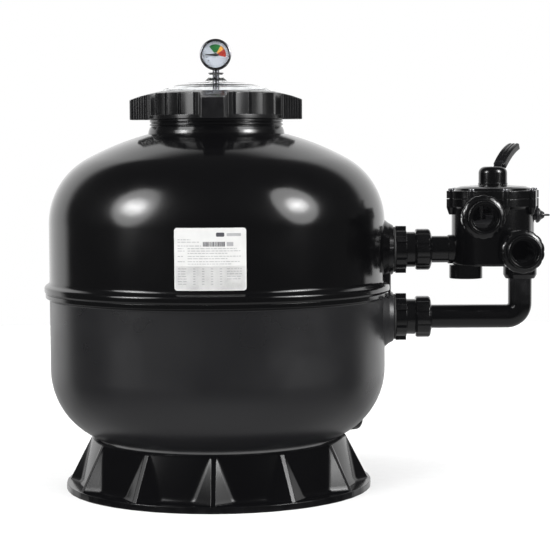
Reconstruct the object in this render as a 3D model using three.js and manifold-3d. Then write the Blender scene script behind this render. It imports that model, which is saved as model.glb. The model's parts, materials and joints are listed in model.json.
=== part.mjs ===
// Side-mount pool sand filter: a moulded tank on a faceted foot, a clear lid with a pressure
// gauge under a four-lug ring, and a six-way selector valve joined to the side by two unions.
// Millimetres, +Z up, -Y is the front. Dimensions are given from the tank's axis and the floor;
// the whole group is shifted at the end so that the origin is under the middle of the box.
import * as THREE from 'three';
import { mergeVertices } from 'three/addons/utils/BufferGeometryUtils.js';
import Module from 'manifold-3d';

const wasm = await Module();
wasm.setup();

// ---------------------------------------------------------------- driving dimensions
const GAP = 0.3; // between neighbouring solids
const SHELL_SIDES = 28; // facets round the tank
const WIDE = 20; // facets round a wide part, and then round smaller ones
const MEDIUM = 16;
const SMALL = 8;
const TANK_R = 310;
const WALL = 8;
const CROWN_R = 500; // the shallow middle of each dished end
const KNUCKLE_R = 135.4; // the tight shoulder of each dished end
const LOWER_KNEE_Z = 222; // where the straight wall turns into the shoulder
const UPPER_KNEE_Z = 490;
const SEAM_Z = 363;
const SEAM_R = 319.5;

const STAND_TOP_Z = 94;
const STAND_TOP_R = 236;
const STAND_RIM_R = 283.5;
const STAND_RIM_T = 12;
const STAND_WALL = 6;
const RIDGES = 12;

const NECK_BORE_R = 101;
const NECK_FOOT_R = 126;
const NECK_TOP_Z = 708;
const RING_BOTTOM_Z = 680;
const RING_TOP_Z = 731;
const RING_R = 125;
const LUG_R = 158.5;
const LID_FLANGE_R = 116;
const BOSS_TOP_Z = 762; // top of the lid's centre boss
const GAUGE_Z = 798.7;
const GAUGE_R = 28.8;

const PORT_SPACING = 125; // standard for a 40 mm side-mount valve
const UPPER_PORT_Z = 438;
const LOWER_PORT_Z = UPPER_PORT_Z - PORT_SPACING;
const PAD_X = 326; // the flat face round each tank port
const PAD_R = 45;
const WEB_X = 321; // the rib between the two ports
const WEB_HALF = 28;
const PIPE_R = 21.8;
const PIPE_BORE_R = 17;
const STUB_END_X = 435.5;

const VALVE_X = 510.8;
const VALVE_R = 76;
const VALVE_BOTTOM_Z = 409.5;
const VALVE_TOP_Z = 531.5;
const COVER_R = 81.5;
const COVER_TOP_Z = 556.5;
const HUB_R = 27.2;
const HUB_TOP_Z = 590.5;
const SCREWS = 8;
const SCREW_CIRCLE_R = 79.5;
const SCREW_PHASE = -80; // degrees from +X to the first screw
const ELBOW_X = 561.4;
const WASTE_X = 461.1;
const WASTE_R = 30.7;
const WASTE_FACE_Z = 384;
const PUMP_PORT = { x: 481.8, z: 501 };
const RETURN_PORT = { x: 552.2, z: 438.6 };
const FRONT_SEAT = 102; // where the front barrels end, forward of the valve's axis
const FRONT_THREAD_R = 31.6;
const LEVER_AZIMUTH = 58; // degrees from +X towards +Y
const PLUG_TIP_X = 615.5;
const PLUG_Z = 500.5;

const DRAIN_AZIMUTH = 27;
const DRAIN_Z = 106.5;

const LABEL_WIDTH = 122;
const LABEL_Z = [387, 493];

// ---------------------------------------------------------------- materials
const plastic = (color, roughness) => new THREE.MeshStandardMaterial({ color, roughness, metalness: 0 });
const metal = (color, roughness) => new THREE.MeshStandardMaterial({ color, roughness, metalness: 1 });
const MATERIALS = {
  glossBlack: plastic(0x141417, 0.2),
  satinBlack: plastic(0x1c1c20, 0.45),
  darkGrey: plastic(0x38383b, 0.4),
  rubber: plastic(0x0c0c0c, 0.8),
  clear: new THREE.MeshStandardMaterial({
    color: 0xf4f8fa, roughness: 0.05, transparent: true, opacity: 0.25,
  }),
  bezel: metal(0x55565a, 0.35),
  steel: metal(0xb8b8b8, 0.3),
  brass: metal(0xb89650, 0.35),
  dial: plastic(0xf2f2f0, 0.5),
  red: plastic(0xb02018, 0.5),
  label: plastic(0xf4f4f2, 0.4),
  pvcWhite: plastic(0xe6e4dc, 0.4),
};

// ---------------------------------------------------------------- making and joining solids
function signedVolume(positions, indices) {
  let total = 0;
  const a = new THREE.Vector3();
  const b = new THREE.Vector3();
  const c = new THREE.Vector3();
  for (let i = 0; i < indices.length; i += 3) {
    a.fromArray(positions, indices[i] * 3);
    b.fromArray(positions, indices[i + 1] * 3);
    c.fromArray(positions, indices[i + 2] * 3);
    total += a.dot(b.cross(c));
  }
  return total / 6;
}

// A closed three.js geometry becomes a solid, with its faces turned outwards.
function solid(geometry) {
  geometry.deleteAttribute('normal');
  geometry.deleteAttribute('uv');
  const merged = mergeVertices(geometry, 1e-4);
  const positions = merged.attributes.position.array;
  const kept = [];
  const index = merged.index.array;
  for (let i = 0; i < index.length; i += 3) {
    const [a, b, c] = [index[i], index[i + 1], index[i + 2]];
    if (a !== b && b !== c && c !== a) kept.push(a, b, c);
  }
  if (signedVolume(positions, kept) < 0) {
    for (let i = 0; i < kept.length; i += 3) [kept[i], kept[i + 1]] = [kept[i + 1], kept[i]];
  }
  return new wasm.Manifold(
    new wasm.Mesh({
      numProp: 3,
      vertProperties: Float32Array.from(positions),
      triVerts: Uint32Array.from(kept),
    }),
  );
}

const join = (...solids) => solids.reduce((whole, next) => whole.add(next));
const cut = (whole, ...tools) => tools.reduce((left, tool) => left.subtract(tool), whole);

// A profile of [radius, height] points turned about +Z.
function lathe(profile, sides) {
  const points = profile.map(([r, z]) => new THREE.Vector2(r, z));
  return new THREE.LatheGeometry(points, sides).rotateX(Math.PI / 2);
}

const rodProfile = (r, from, to) => [[0, from], [r, from], [r, to], [0, to]];
const ringProfile = (inner, outer, from, to) => [
  [inner, from], [outer, from], [outer, to], [inner, to], [inner, from],
];

// Stands a shape made about +Z on another axis: its height then runs along that axis.
const aboutZ = (geometry, x = 0, y = 0) => solid(geometry.translate(x, y, 0));
const aboutX = (geometry, y = 0, z = 0) => solid(geometry.rotateY(Math.PI / 2).translate(0, y, z));
const aboutFront = (geometry, x = 0, z = 0) => solid(geometry.rotateX(Math.PI / 2).translate(x, 0, z));

// An outline of [x, y] points, with round holes of [x, y, radius], extruded from one height to another.
function plate(outline, from, to, holes = [], holeSides = 8) {
  const shape = new THREE.Shape(outline.map(([x, y]) => new THREE.Vector2(x, y)));
  for (const [x, y, radius] of holes) {
    const rim = circle(radius, holeSides, x, y).map(([u, v]) => new THREE.Vector2(u, v));
    shape.holes.push(new THREE.Path(rim));
  }
  const options = { depth: to - from, bevelEnabled: false };
  return new THREE.ExtrudeGeometry(shape, options).translate(0, 0, from);
}

function circle(radius, sides, x = 0, y = 0, phase = 0) {
  return Array.from({ length: sides }, (_, i) => {
    const a = phase + (i / sides) * 2 * Math.PI;
    return [x + radius * Math.cos(a), y + radius * Math.sin(a)];
  });
}

// Points of an arc about (cx, cz), from one angle in degrees to another.
function arc(cx, cz, radius, fromDeg, toDeg, steps) {
  return Array.from({ length: steps + 1 }, (_, i) => {
    const a = THREE.MathUtils.degToRad(fromDeg + ((toDeg - fromDeg) * i) / steps);
    return [cx + radius * Math.cos(a), cz + radius * Math.sin(a)];
  });
}

// A skin over rings of equal length, each ring closed and the last ring joined to the first.
function loopOfRings(rings) {
  const size = rings[0].length;
  const positions = rings.flat(2);
  const index = [];
  rings.forEach((_, r) => {
    const next = (r + 1) % rings.length;
    for (let i = 0; i < size; i += 1) {
      const j = (i + 1) % size;
      index.push(r * size + i, r * size + j, next * size + j);
      index.push(r * size + i, next * size + j, next * size + i);
    }
  });
  const geometry = new THREE.BufferGeometry();
  geometry.setAttribute('position', new THREE.Float32BufferAttribute(positions, 3));
  geometry.setIndex(index);
  return geometry;
}

// A tube in the plane y = 0 through [x, z] corners, each corner rounded to bendRadius.
function bentTube(corners, bendRadius, outer, inner, sides) {
  const stations = [];
  corners.forEach(([x, z], i) => {
    const before = corners[i - 1];
    const after = corners[i + 1];
    const headingIn = before && Math.atan2(z - before[1], x - before[0]);
    const headingOut = after && Math.atan2(after[1] - z, after[0] - x);
    if (!before || !after) {
      stations.push({ x, z, heading: before ? headingIn : headingOut });
      return;
    }
    const turn = headingOut - headingIn;
    const side = Math.sign(turn);
    const back = bendRadius * Math.tan(Math.abs(turn) / 2);
    const centreX = x - back * Math.cos(headingIn) - side * bendRadius * Math.sin(headingIn);
    const centreZ = z - back * Math.sin(headingIn) + side * bendRadius * Math.cos(headingIn);
    const steps = 5;
    for (let k = 0; k <= steps; k += 1) {
      const heading = headingIn + (turn * k) / steps;
      stations.push({
        x: centreX + side * bendRadius * Math.sin(heading),
        z: centreZ - side * bendRadius * Math.cos(heading),
        heading,
      });
    }
  });
  const ring = ({ x, z, heading }, radius) =>
    circle(radius, sides).map(([u, v]) => [x - u * Math.sin(heading), v, z + u * Math.cos(heading)]);
  const outside = stations.map((s) => ring(s, outer));
  const inside = stations.map((s) => ring(s, inner)).reverse();
  return solid(loopOfRings([...outside, ...inside]));
}

const group = new THREE.Group();

function addPart(name, body, material) {
  const mesh = body.getMesh();
  const geometry = new THREE.BufferGeometry();
  geometry.setAttribute('position', new THREE.Float32BufferAttribute(mesh.vertProperties, 3));
  geometry.setIndex(new THREE.BufferAttribute(mesh.triVerts, 1));
  geometry.computeVertexNormals();
  const part = new THREE.Mesh(geometry, material);
  part.name = name;
  group.add(part);
  return part;
}

// ---------------------------------------------------------------- tank shells
// Half outline of a dished end, from the straight wall towards the axis. side is +1 up, -1 down.
function dishedEnd(kneeZ, side, inset, endRadius) {
  const reach = TANK_R - KNUCKLE_R;
  const drop = Math.sqrt((CROWN_R - KNUCKLE_R) ** 2 - reach ** 2);
  const knee = THREE.MathUtils.radToDeg(Math.atan2(drop, reach));
  const crownCentre = kneeZ - side * drop;
  const crown = CROWN_R - inset;
  const last = THREE.MathUtils.radToDeg(Math.acos(endRadius / crown));
  const shoulder = arc(reach, kneeZ, KNUCKLE_R - inset, 0, side * knee, 5);
  const top = arc(0, crownCentre, crown, side * knee, side * last, 3);
  return [...shoulder, ...top.slice(1)];
}

// The shells meet at the seam in a rounded lip on the upper one and a flat band on the lower one.
const BAND_R = SEAM_R - 2;
const upperLip = [[SEAM_R, SEAM_Z + 4.5], [SEAM_R, SEAM_Z + 9], [TANK_R, SEAM_Z + 15]];
const lowerBand = [[TANK_R, SEAM_Z - 11.5], [BAND_R, SEAM_Z - 7.5], [BAND_R, SEAM_Z]];

// A flared boss on the wall round a tank port, with a rib from it to the seam.
function portPad(seamZ, portZ) {
  const boss = aboutX(lathe([
    [0, 240], [PAD_R + 19, 240], [PAD_R + 19, 300], [PAD_R + 5, 317], [PAD_R, PAD_X], [0, PAD_X],
  ], MEDIUM), 0, portZ);
  const web = solid(plate(
    [[240, -WEB_HALF], [WEB_X, -WEB_HALF], [WEB_X, WEB_HALF], [240, WEB_HALF]],
    Math.min(seamZ, portZ), Math.max(seamZ, portZ)));
  const beyond = portZ > seamZ ? [seamZ - 100, seamZ] : [seamZ, seamZ + 100];
  return join(boss, web).subtract(aboutZ(lathe(rodProfile(400, ...beyond), SMALL)));
}

const portHole = (z, radius = 26.5) => aboutX(lathe(rodProfile(radius, 230, 340), MEDIUM), 0, z);

function tankShells() {
  const lowerOuter = dishedEnd(LOWER_KNEE_Z, -1, 0, 0);
  const lowerInner = dishedEnd(LOWER_KNEE_Z, -1, WALL, 0);
  const cavity = aboutZ(lathe([
    ...lowerInner.slice().reverse(), [TANK_R - WALL, UPPER_KNEE_Z], [0, UPPER_KNEE_Z],
  ], SHELL_SIDES));

  const lowerProfile = [
    ...lowerOuter.reverse(),
    ...lowerBand,
    [TANK_R - WALL, SEAM_Z],
    ...lowerInner,
  ];
  const lowerSolid = join(
    aboutZ(lathe(lowerProfile, SHELL_SIDES)),
    portPad(SEAM_Z, LOWER_PORT_Z).subtract(cavity),
    drainPiece(rodProfile(12, 225, 288), MEDIUM).subtract(cavity),
  );
  const drainBore = drainPiece(rodProfile(9, 200, 300), SMALL);
  addPart('lower_shell', cut(lowerSolid, portHole(LOWER_PORT_Z), drainBore), MATERIALS.satinBlack);

  const upperFrom = SEAM_Z + GAP;
  const crownEnd = dishedEnd(UPPER_KNEE_Z, 1, 0, NECK_FOOT_R);
  const [, crownEndZ] = crownEnd.at(-1);
  const upperProfile = [
    [TANK_R - WALL, upperFrom],
    [BAND_R, upperFrom],
    ...upperLip,
    ...crownEnd,
    [NECK_BORE_R, crownEndZ],
    ...dishedEnd(UPPER_KNEE_Z, 1, WALL, NECK_BORE_R).reverse(),
    [TANK_R - WALL, upperFrom],
  ];
  const upperPad = portPad(upperFrom, UPPER_PORT_Z).subtract(cavity);
  const upperSolid = join(aboutZ(lathe(upperProfile, SHELL_SIDES)), upperPad);
  addPart('upper_shell', cut(upperSolid, portHole(UPPER_PORT_Z)), MATERIALS.glossBlack);

  // The collar that the lid ring screws onto, moulded into the shell's crown.
  const grooves = [665.5, 672].flatMap((z) => [[123, z], [119.5, z + 1.8], [123, z + 3.6]]);
  const collar = [
    [NECK_BORE_R, crownEndZ + GAP],
    [NECK_FOOT_R, crownEndZ + GAP],
    [NECK_FOOT_R - 1, 660],
    ...grooves,
    [123, RING_BOTTOM_Z - 1],
    [118, RING_BOTTOM_Z - 0.5],
    [118, 696],
    [114, NECK_TOP_Z],
    [NECK_BORE_R, NECK_TOP_Z],
    [NECK_BORE_R, crownEndZ + GAP],
  ];
  addPart('neck_collar', aboutZ(lathe(collar, SHELL_SIDES)), MATERIALS.glossBlack);
}

function ratingLabel() {
  const half = THREE.MathUtils.radToDeg(LABEL_WIDTH / TANK_R / 2);
  const outline = [
    ...arc(0, 0, TANK_R + 1.2, -90 - half, -90 + half, 12),
    ...arc(0, 0, TANK_R + 0.4, -90 + half, -90 - half, 12),
  ];
  addPart('rating_label', solid(plate(outline, ...LABEL_Z)), MATERIALS.label);
}

// ---------------------------------------------------------------- base stand
// One ring of the skirt at height z: narrow ridges with sloping sides, and panels set back between.
function skirtRing(z, inset) {
  const down = (STAND_TOP_Z - z) / (STAND_TOP_Z - STAND_RIM_T);
  const ridgeR = STAND_TOP_R + 42 * down - inset;
  const panelR = STAND_TOP_R + 20 * down - inset;
  const stripHalf = 5.5;
  const flank = 1.5 + 32 * down;
  const pitch = (2 * Math.PI) / RIDGES;
  return Array.from({ length: RIDGES }, (_, i) => {
    const middle = -Math.PI / 2 + i * pitch;
    const at = (offset, radius) => [
      radius * Math.cos(middle + offset),
      radius * Math.sin(middle + offset),
      z,
    ];
    const strip = stripHalf / ridgeR;
    const foot = (stripHalf + flank) / panelR;
    return [
      at(-strip, ridgeR), at(strip, ridgeR),
      at(foot, panelR), at(pitch / 2, panelR), at(pitch - foot, panelR),
    ];
  }).flat();
}

function rimRing(radius, z) {
  return skirtRing(z, 0).map(([x, y]) => {
    const a = Math.atan2(y, x);
    return [radius * Math.cos(a), radius * Math.sin(a), z];
  });
}

function baseStand() {
  const rings = [
    rimRing(STAND_RIM_R, 0),
    rimRing(STAND_RIM_R, STAND_RIM_T),
    skirtRing(STAND_RIM_T, 0),
    skirtRing(STAND_TOP_Z - 2, 0),
    rimRing(STAND_TOP_R - 1, STAND_TOP_Z),
    rimRing(224, STAND_TOP_Z),
    skirtRing(STAND_RIM_T, STAND_WALL),
    skirtRing(0, STAND_WALL + 3),
  ];
  addPart('base_stand', solid(loopOfRings(rings)), MATERIALS.glossBlack);
}

// ---------------------------------------------------------------- lid and ring
function lidRing() {
  const lugHalf = 24; // half width of a grip lug
  const outline = [];
  for (let a = 0; a < 360; a += 4.8) {
    const fromLug = ((a + 45) % 90) - 45;
    const along = THREE.MathUtils.degToRad(fromLug);
    if (Math.abs(LUG_R * Math.tan(along)) < lugHalf) continue;
    const flute = ((Math.abs(fromLug) - 18) / 14.4 + 4) % 1;
    const radius = RING_R - (Math.abs(fromLug) < 17 ? 0 : 3.5 * Math.sin(Math.PI * flute));
    outline.push([radius * Math.cos((a * Math.PI) / 180), radius * Math.sin((a * Math.PI) / 180)]);
  }
  const fluted = solid(plate(outline, RING_BOTTOM_Z + 8, RING_TOP_Z));
  const band = aboutZ(lathe(rodProfile(RING_R, RING_BOTTOM_Z, RING_BOTTOM_Z + 8.2), WIDE));
  const lug = [
    [0, -lugHalf], [LUG_R - 4, -lugHalf + 2.5], [LUG_R, -lugHalf + 7],
    [LUG_R, lugHalf - 7], [LUG_R - 4, lugHalf - 2.5], [0, lugHalf],
  ];
  const lugs = [0, 90, 180, 270].map((turn) =>
    solid(plate(lug, RING_BOTTOM_Z + 1, RING_TOP_Z).rotateZ(THREE.MathUtils.degToRad(turn))));
  const slopingTop = aboutZ(lathe([
    [0, RING_BOTTOM_Z - 5], [170, RING_BOTTOM_Z - 5], [170, 712.5], [140, 723], [108, RING_TOP_Z],
    [0, RING_TOP_Z],
  ], WIDE));
  const bore = aboutZ(lathe([
    [0, RING_BOTTOM_Z - 5], [120.5, RING_BOTTOM_Z - 5], [120.5, 719.3], [106.5, 719.3], [106.5, 740],
    [0, 740],
  ], WIDE));
  const body = join(fluted, band, ...lugs).intersect(slopingTop).subtract(bore);
  addPart('lid_ring', body, MATERIALS.darkGrey);
}

function clearLid() {
  const gasket = aboutZ(lathe(ringProfile(102, 113, NECK_TOP_Z + GAP, 711.7), WIDE));
  addPart('lid_gasket', gasket, MATERIALS.rubber);
  const profile = [
    [99, 712],
    [LID_FLANGE_R, 712],
    [LID_FLANGE_R, 719],
    [105, 719],
    [105, 727],
    [102, 732],
    [94, 737],
    [78, 742.5],
    [58, 746.5],
    [34, 748.5],
    [21, 751],
    [14.5, 756.5],
    [14.5, BOSS_TOP_Z],
    [6.4, BOSS_TOP_Z],
    [6.4, 744.5],
    [34, 743.5],
    [58, 741.5],
    [78, 737.5],
    [92, 731],
    [99, 722],
    [99, 712],
  ];
  addPart('clear_lid', aboutZ(lathe(profile, WIDE)), MATERIALS.clear);
}

// ---------------------------------------------------------------- pressure gauge
function pressureGauge() {
  const stemTopZ = GAUGE_Z - 19.5;
  const hexFrom = BOSS_TOP_Z + 2.1;
  const stem = join(
    aboutZ(lathe(rodProfile(6.1, 733, hexFrom + 1), SMALL)),
    solid(plate(circle(14, 6), hexFrom, GAUGE_Z - GAUGE_R - 0.5)),
    aboutZ(lathe(rodProfile(6.1, hexFrom + 0.5, stemTopZ), SMALL)),
  );
  addPart('gauge_stem', cut(stem, aboutZ(lathe(rodProfile(2, 700, 760), SMALL))), MATERIALS.brass);
  const seal = aboutZ(lathe(ringProfile(7.2, 12, BOSS_TOP_Z + GAP, hexFrom - GAP), MEDIUM));
  addPart('gauge_seal', seal, MATERIALS.rubber);

  // Turned about the line of sight: heights here run towards the front.
  const face = (profile, sides = WIDE) => aboutFront(lathe(profile, sides), 0, GAUGE_Z);
  const cupR = GAUGE_R - 1.1;
  const caseCup = face([
    [0, -12], [cupR - 2.4, -12], [cupR, -9.5], [cupR, 11.6], [cupR - 2, 11.6], [cupR - 2, -9.5], [0, -9.5],
  ]);
  const stemHole = aboutZ(lathe(rodProfile(7.2, 755, GAUGE_Z - 20), SMALL));
  addPart('gauge_case', cut(caseCup, stemHole), MATERIALS.bezel);
  addPart('gauge_dial', face(ringProfile(1.8, cupR - 2.8, 6.8, 8)), MATERIALS.dial);
  addPart('gauge_window', face(rodProfile(cupR - 0.4, 11.9, 13.9)), MATERIALS.clear);
  const bezel = [
    [cupR - 4, 14.2], [cupR + 0.3, 14.2], [cupR + 0.3, 6.4], [GAUGE_R, 6.4], [GAUGE_R, 15],
    [cupR - 0.4, 16.4], [cupR - 3.4, 16.4], [cupR - 4, 14.2],
  ];
  addPart('gauge_bezel', face(bezel), MATERIALS.bezel);

  const tubeR = 16;
  const coil = new THREE.CatmullRomCurve3(
    arc(0, GAUGE_Z, tubeR, -80, 180, 14).map(([x, z]) => new THREE.Vector3(x, 4, z)),
  );
  const section = new THREE.Shape(circle(2.6, 8).map(([u, v]) => new THREE.Vector2(u, v)));
  addPart(
    'gauge_bourdon_tube',
    solid(new THREE.ExtrudeGeometry(section, { extrudePath: coil, steps: 14, bevelEnabled: false })),
    MATERIALS.brass,
  );

  // The needle points left at rest and turns about its shaft.
  const blade = [[6, -1.4], [2, -2.4], [-2, -2.4], [-19, -0.5], [-19, 0.5], [-2, 2.4], [2, 2.4], [6, 1.4]];
  const needle = join(
    aboutFront(plate(blade, 8.7, 9.5), 0, GAUGE_Z),
    face(rodProfile(3, 8.7, 10.6), SMALL),
    face(rodProfile(1.2, 3, 9), SMALL),
  );
  addPart('gauge_needle', needle, MATERIALS.red);
}

// ---------------------------------------------------------------- tank ports and unions
function lockNut(z) {
  const lugs = Array.from({ length: 6 }, (_, i) => {
    const bar = plate([[30, -6], [43.5, -5], [43.5, 5], [30, 6]], 330, 350);
    return aboutX(bar.rotateZ((Math.PI / 3) * i), 0, z);
  });
  const body = aboutX(lathe(rodProfile(37.5, 330, 350), MEDIUM), 0, z);
  return cut(join(body, ...lugs), aboutX(lathe(rodProfile(26.6, 325, 355), MEDIUM), 0, z));
}

function unionNut(z, tailR) {
  const profile = [
    [30.6, 367], [36.5, 367], [38.5, 369], [38.5, 391.5], [36, 394], [tailR + 2, 397],
    [tailR + 0.6, 397], [tailR + 0.6, 390.3], [30.6, 390.3], [30.6, 367],
  ];
  return aboutX(lathe(profile, MEDIUM), 0, z);
}

function tankPort(level, z, tailR) {
  const collarEnd = 366;
  const fitting = aboutX(lathe([
    [19, 262], [24, 262], [26, 265], [26, 350.3], [32.6, 350.3], [32.6, collarEnd], [30, collarEnd],
    [30, 383], [19, 383], [19, 262],
  ], MEDIUM), 0, z);
  addPart(`${level}_bulkhead`, fitting, MATERIALS.glossBlack);
  const wallGasket = aboutX(lathe(ringProfile(26.6, 42, PAD_X + GAP, 329.7), MEDIUM), 0, z);
  addPart(`${level}_wall_gasket`, wallGasket, MATERIALS.rubber);
  addPart(`${level}_lock_nut`, lockNut(z), MATERIALS.glossBlack);
  addPart(`${level}_union_nut`, unionNut(z, tailR), MATERIALS.glossBlack);
  const seal = aboutX(lathe(ringProfile(20, 27, 383.3, 385.5), MEDIUM), 0, z);
  addPart(`${level}_union_seal`, seal, MATERIALS.rubber);
}

function connectingPipes() {
  const flangeFrom = 385.8;
  const flangeTo = 390;
  const stub = aboutX(lathe([
    [PIPE_BORE_R, flangeFrom], [29, flangeFrom], [29, flangeTo], [24.8, flangeTo],
    [24.8, STUB_END_X], [PIPE_BORE_R, STUB_END_X], [PIPE_BORE_R, flangeFrom],
  ], MEDIUM), 0, UPPER_PORT_Z);
  addPart('upper_stub_pipe', stub, MATERIALS.glossBlack);

  const run = bentTube(
    [[388, LOWER_PORT_Z], [ELBOW_X, LOWER_PORT_Z], [ELBOW_X, 402]], 24.5, PIPE_R, PIPE_BORE_R, MEDIUM);
  const flange = aboutX(lathe(ringProfile(PIPE_BORE_R, 29, flangeFrom, flangeTo), MEDIUM), 0, LOWER_PORT_Z);
  addPart('lower_elbow_pipe', join(run, flange), MATERIALS.glossBlack);
}

// ---------------------------------------------------------------- selector valve
const screwAngles = Array.from({ length: SCREWS }, (_, i) =>
  THREE.MathUtils.degToRad(SCREW_PHASE + (360 / SCREWS) * i));
const screwSpots = screwAngles.map((a) => [
  VALVE_X + SCREW_CIRCLE_R * Math.cos(a), SCREW_CIRCLE_R * Math.sin(a),
]);

function screwLugs(from, to) {
  return screwSpots.map(([x, y]) => aboutZ(lathe(rodProfile(8.6, from, to), 8), x, y));
}

const screwHoles = (from, to) =>
  screwSpots.map(([x, y]) => aboutZ(lathe(rodProfile(3.2, from, to), 6), x, y));

function valveBody() {
  const chamberR = VALVE_R - 8;
  const shell = aboutZ(lathe([
    [0, VALVE_BOTTOM_Z], [VALVE_R - 5, VALVE_BOTTOM_Z], [VALVE_R, VALVE_BOTTOM_Z + 5],
    [VALVE_R, VALVE_TOP_Z - 18], [COVER_R, VALVE_TOP_Z - 14], [COVER_R, VALVE_TOP_Z], [0, VALVE_TOP_Z],
  ], WIDE), VALVE_X);
  const tankBarrel = aboutX(lathe(rodProfile(26.8, 427, VALVE_X), MEDIUM), 0, UPPER_PORT_Z);
  const elbowBarrel = aboutZ(lathe([
    [0, 383.5], [27, 383.5], [31, 391], [31, 445], [0, 445],
  ], MEDIUM), ELBOW_X);
  const frontBarrel = ({ x, z }) =>
    aboutFront(lathe([
      [0, 0], [26.8, 0], [26.8, 90], [FRONT_THREAD_R, 92.5], [FRONT_THREAD_R, FRONT_SEAT], [0, FRONT_SEAT],
    ], MEDIUM), x, z);
  const plugBoss = aboutX(lathe(rodProfile(10, 560, 590), SMALL), 0, PLUG_Z);
  const outside = join(
    shell, tankBarrel, elbowBarrel, frontBarrel(PUMP_PORT), frontBarrel(RETURN_PORT), plugBoss,
    ...screwLugs(VALVE_TOP_Z - 16, VALVE_TOP_Z),
  );

  const upperChamber = aboutZ(lathe(rodProfile(chamberR, 475, VALVE_TOP_Z + 5), WIDE), VALVE_X);
  const lowerChamber = aboutZ(lathe(rodProfile(chamberR, VALVE_BOTTOM_Z + 7, 470), WIDE), VALVE_X);
  const plateHoles = circle(40, 6, VALVE_X, 0, Math.PI / 6).map(([x, y]) =>
    aboutZ(lathe(rodProfile(13, 465, 480), SMALL), x, y));
  const tankBore = [
    aboutX(lathe(rodProfile(25.1, 420, STUB_END_X + GAP), MEDIUM), 0, UPPER_PORT_Z),
    aboutX(lathe(rodProfile(PIPE_BORE_R, STUB_END_X, 470), SMALL), 0, UPPER_PORT_Z),
  ];
  const wasteBore = aboutZ(lathe(rodProfile(23.8, 400, 430), MEDIUM), WASTE_X);
  const elbowBore = aboutZ(lathe([
    [0, 370], [PIPE_R + GAP, 370], [PIPE_R + GAP, 402.4], [PIPE_BORE_R, 402.4], [PIPE_BORE_R, 430], [0, 430],
  ], MEDIUM), ELBOW_X);
  const frontBore = ({ x, z }) => aboutFront(lathe(rodProfile(21, 30, 110), MEDIUM), x, z);
  const plugBore = aboutX(lathe(rodProfile(5.4, 550, 600), SMALL), 0, PLUG_Z);
  const body = cut(
    outside, upperChamber, lowerChamber, ...plateHoles, ...tankBore, wasteBore, elbowBore,
    frontBore(PUMP_PORT), frontBore(RETURN_PORT), plugBore,
    ...screwHoles(VALVE_TOP_Z - 23, VALVE_TOP_Z + 7),
  );
  addPart('valve_body', body, MATERIALS.glossBlack);
}

function valveCover() {
  const from = VALVE_TOP_Z + 1;
  const flangeTop = VALVE_TOP_Z + 15;
  const ceiling = COVER_TOP_Z - 12;
  const cover = join(
    aboutZ(lathe([
      [9.4, ceiling], [20, ceiling], [24, ceiling + 4], [60, ceiling], [64, ceiling - 4], [64, from],
      [COVER_R, from], [COVER_R, flangeTop], [71.5, flangeTop], [69, COVER_TOP_Z - 5.5],
      [60, COVER_TOP_Z - 2.5], [30, COVER_TOP_Z], [9.4, COVER_TOP_Z], [9.4, ceiling],
    ], WIDE), VALVE_X),
    ...screwLugs(from, flangeTop).map((lug) =>
      lug.subtract(aboutZ(lathe(rodProfile(70, 500, 560), MEDIUM), VALVE_X))),
  );
  addPart('valve_cover', cut(cover, ...screwHoles(520, 560)), MATERIALS.glossBlack);
  const seal = aboutZ(lathe(ringProfile(69, 73, VALVE_TOP_Z + 0.2, VALVE_TOP_Z + 0.8), WIDE), VALVE_X);
  addPart('cover_seal', seal, MATERIALS.rubber);
  screwSpots.forEach(([x, y], i) => {
    const profile = [
      [0, VALVE_TOP_Z - 12], [2.6, VALVE_TOP_Z - 12], [2.6, flangeTop + GAP], [5.4, flangeTop + GAP],
      [5.4, flangeTop + 4.2], [0, flangeTop + 4.2],
    ];
    addPart(`cover_screw_${i + 1}`, aboutZ(lathe(profile, 8), x, y), MATERIALS.steel);
  });
}

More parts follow.
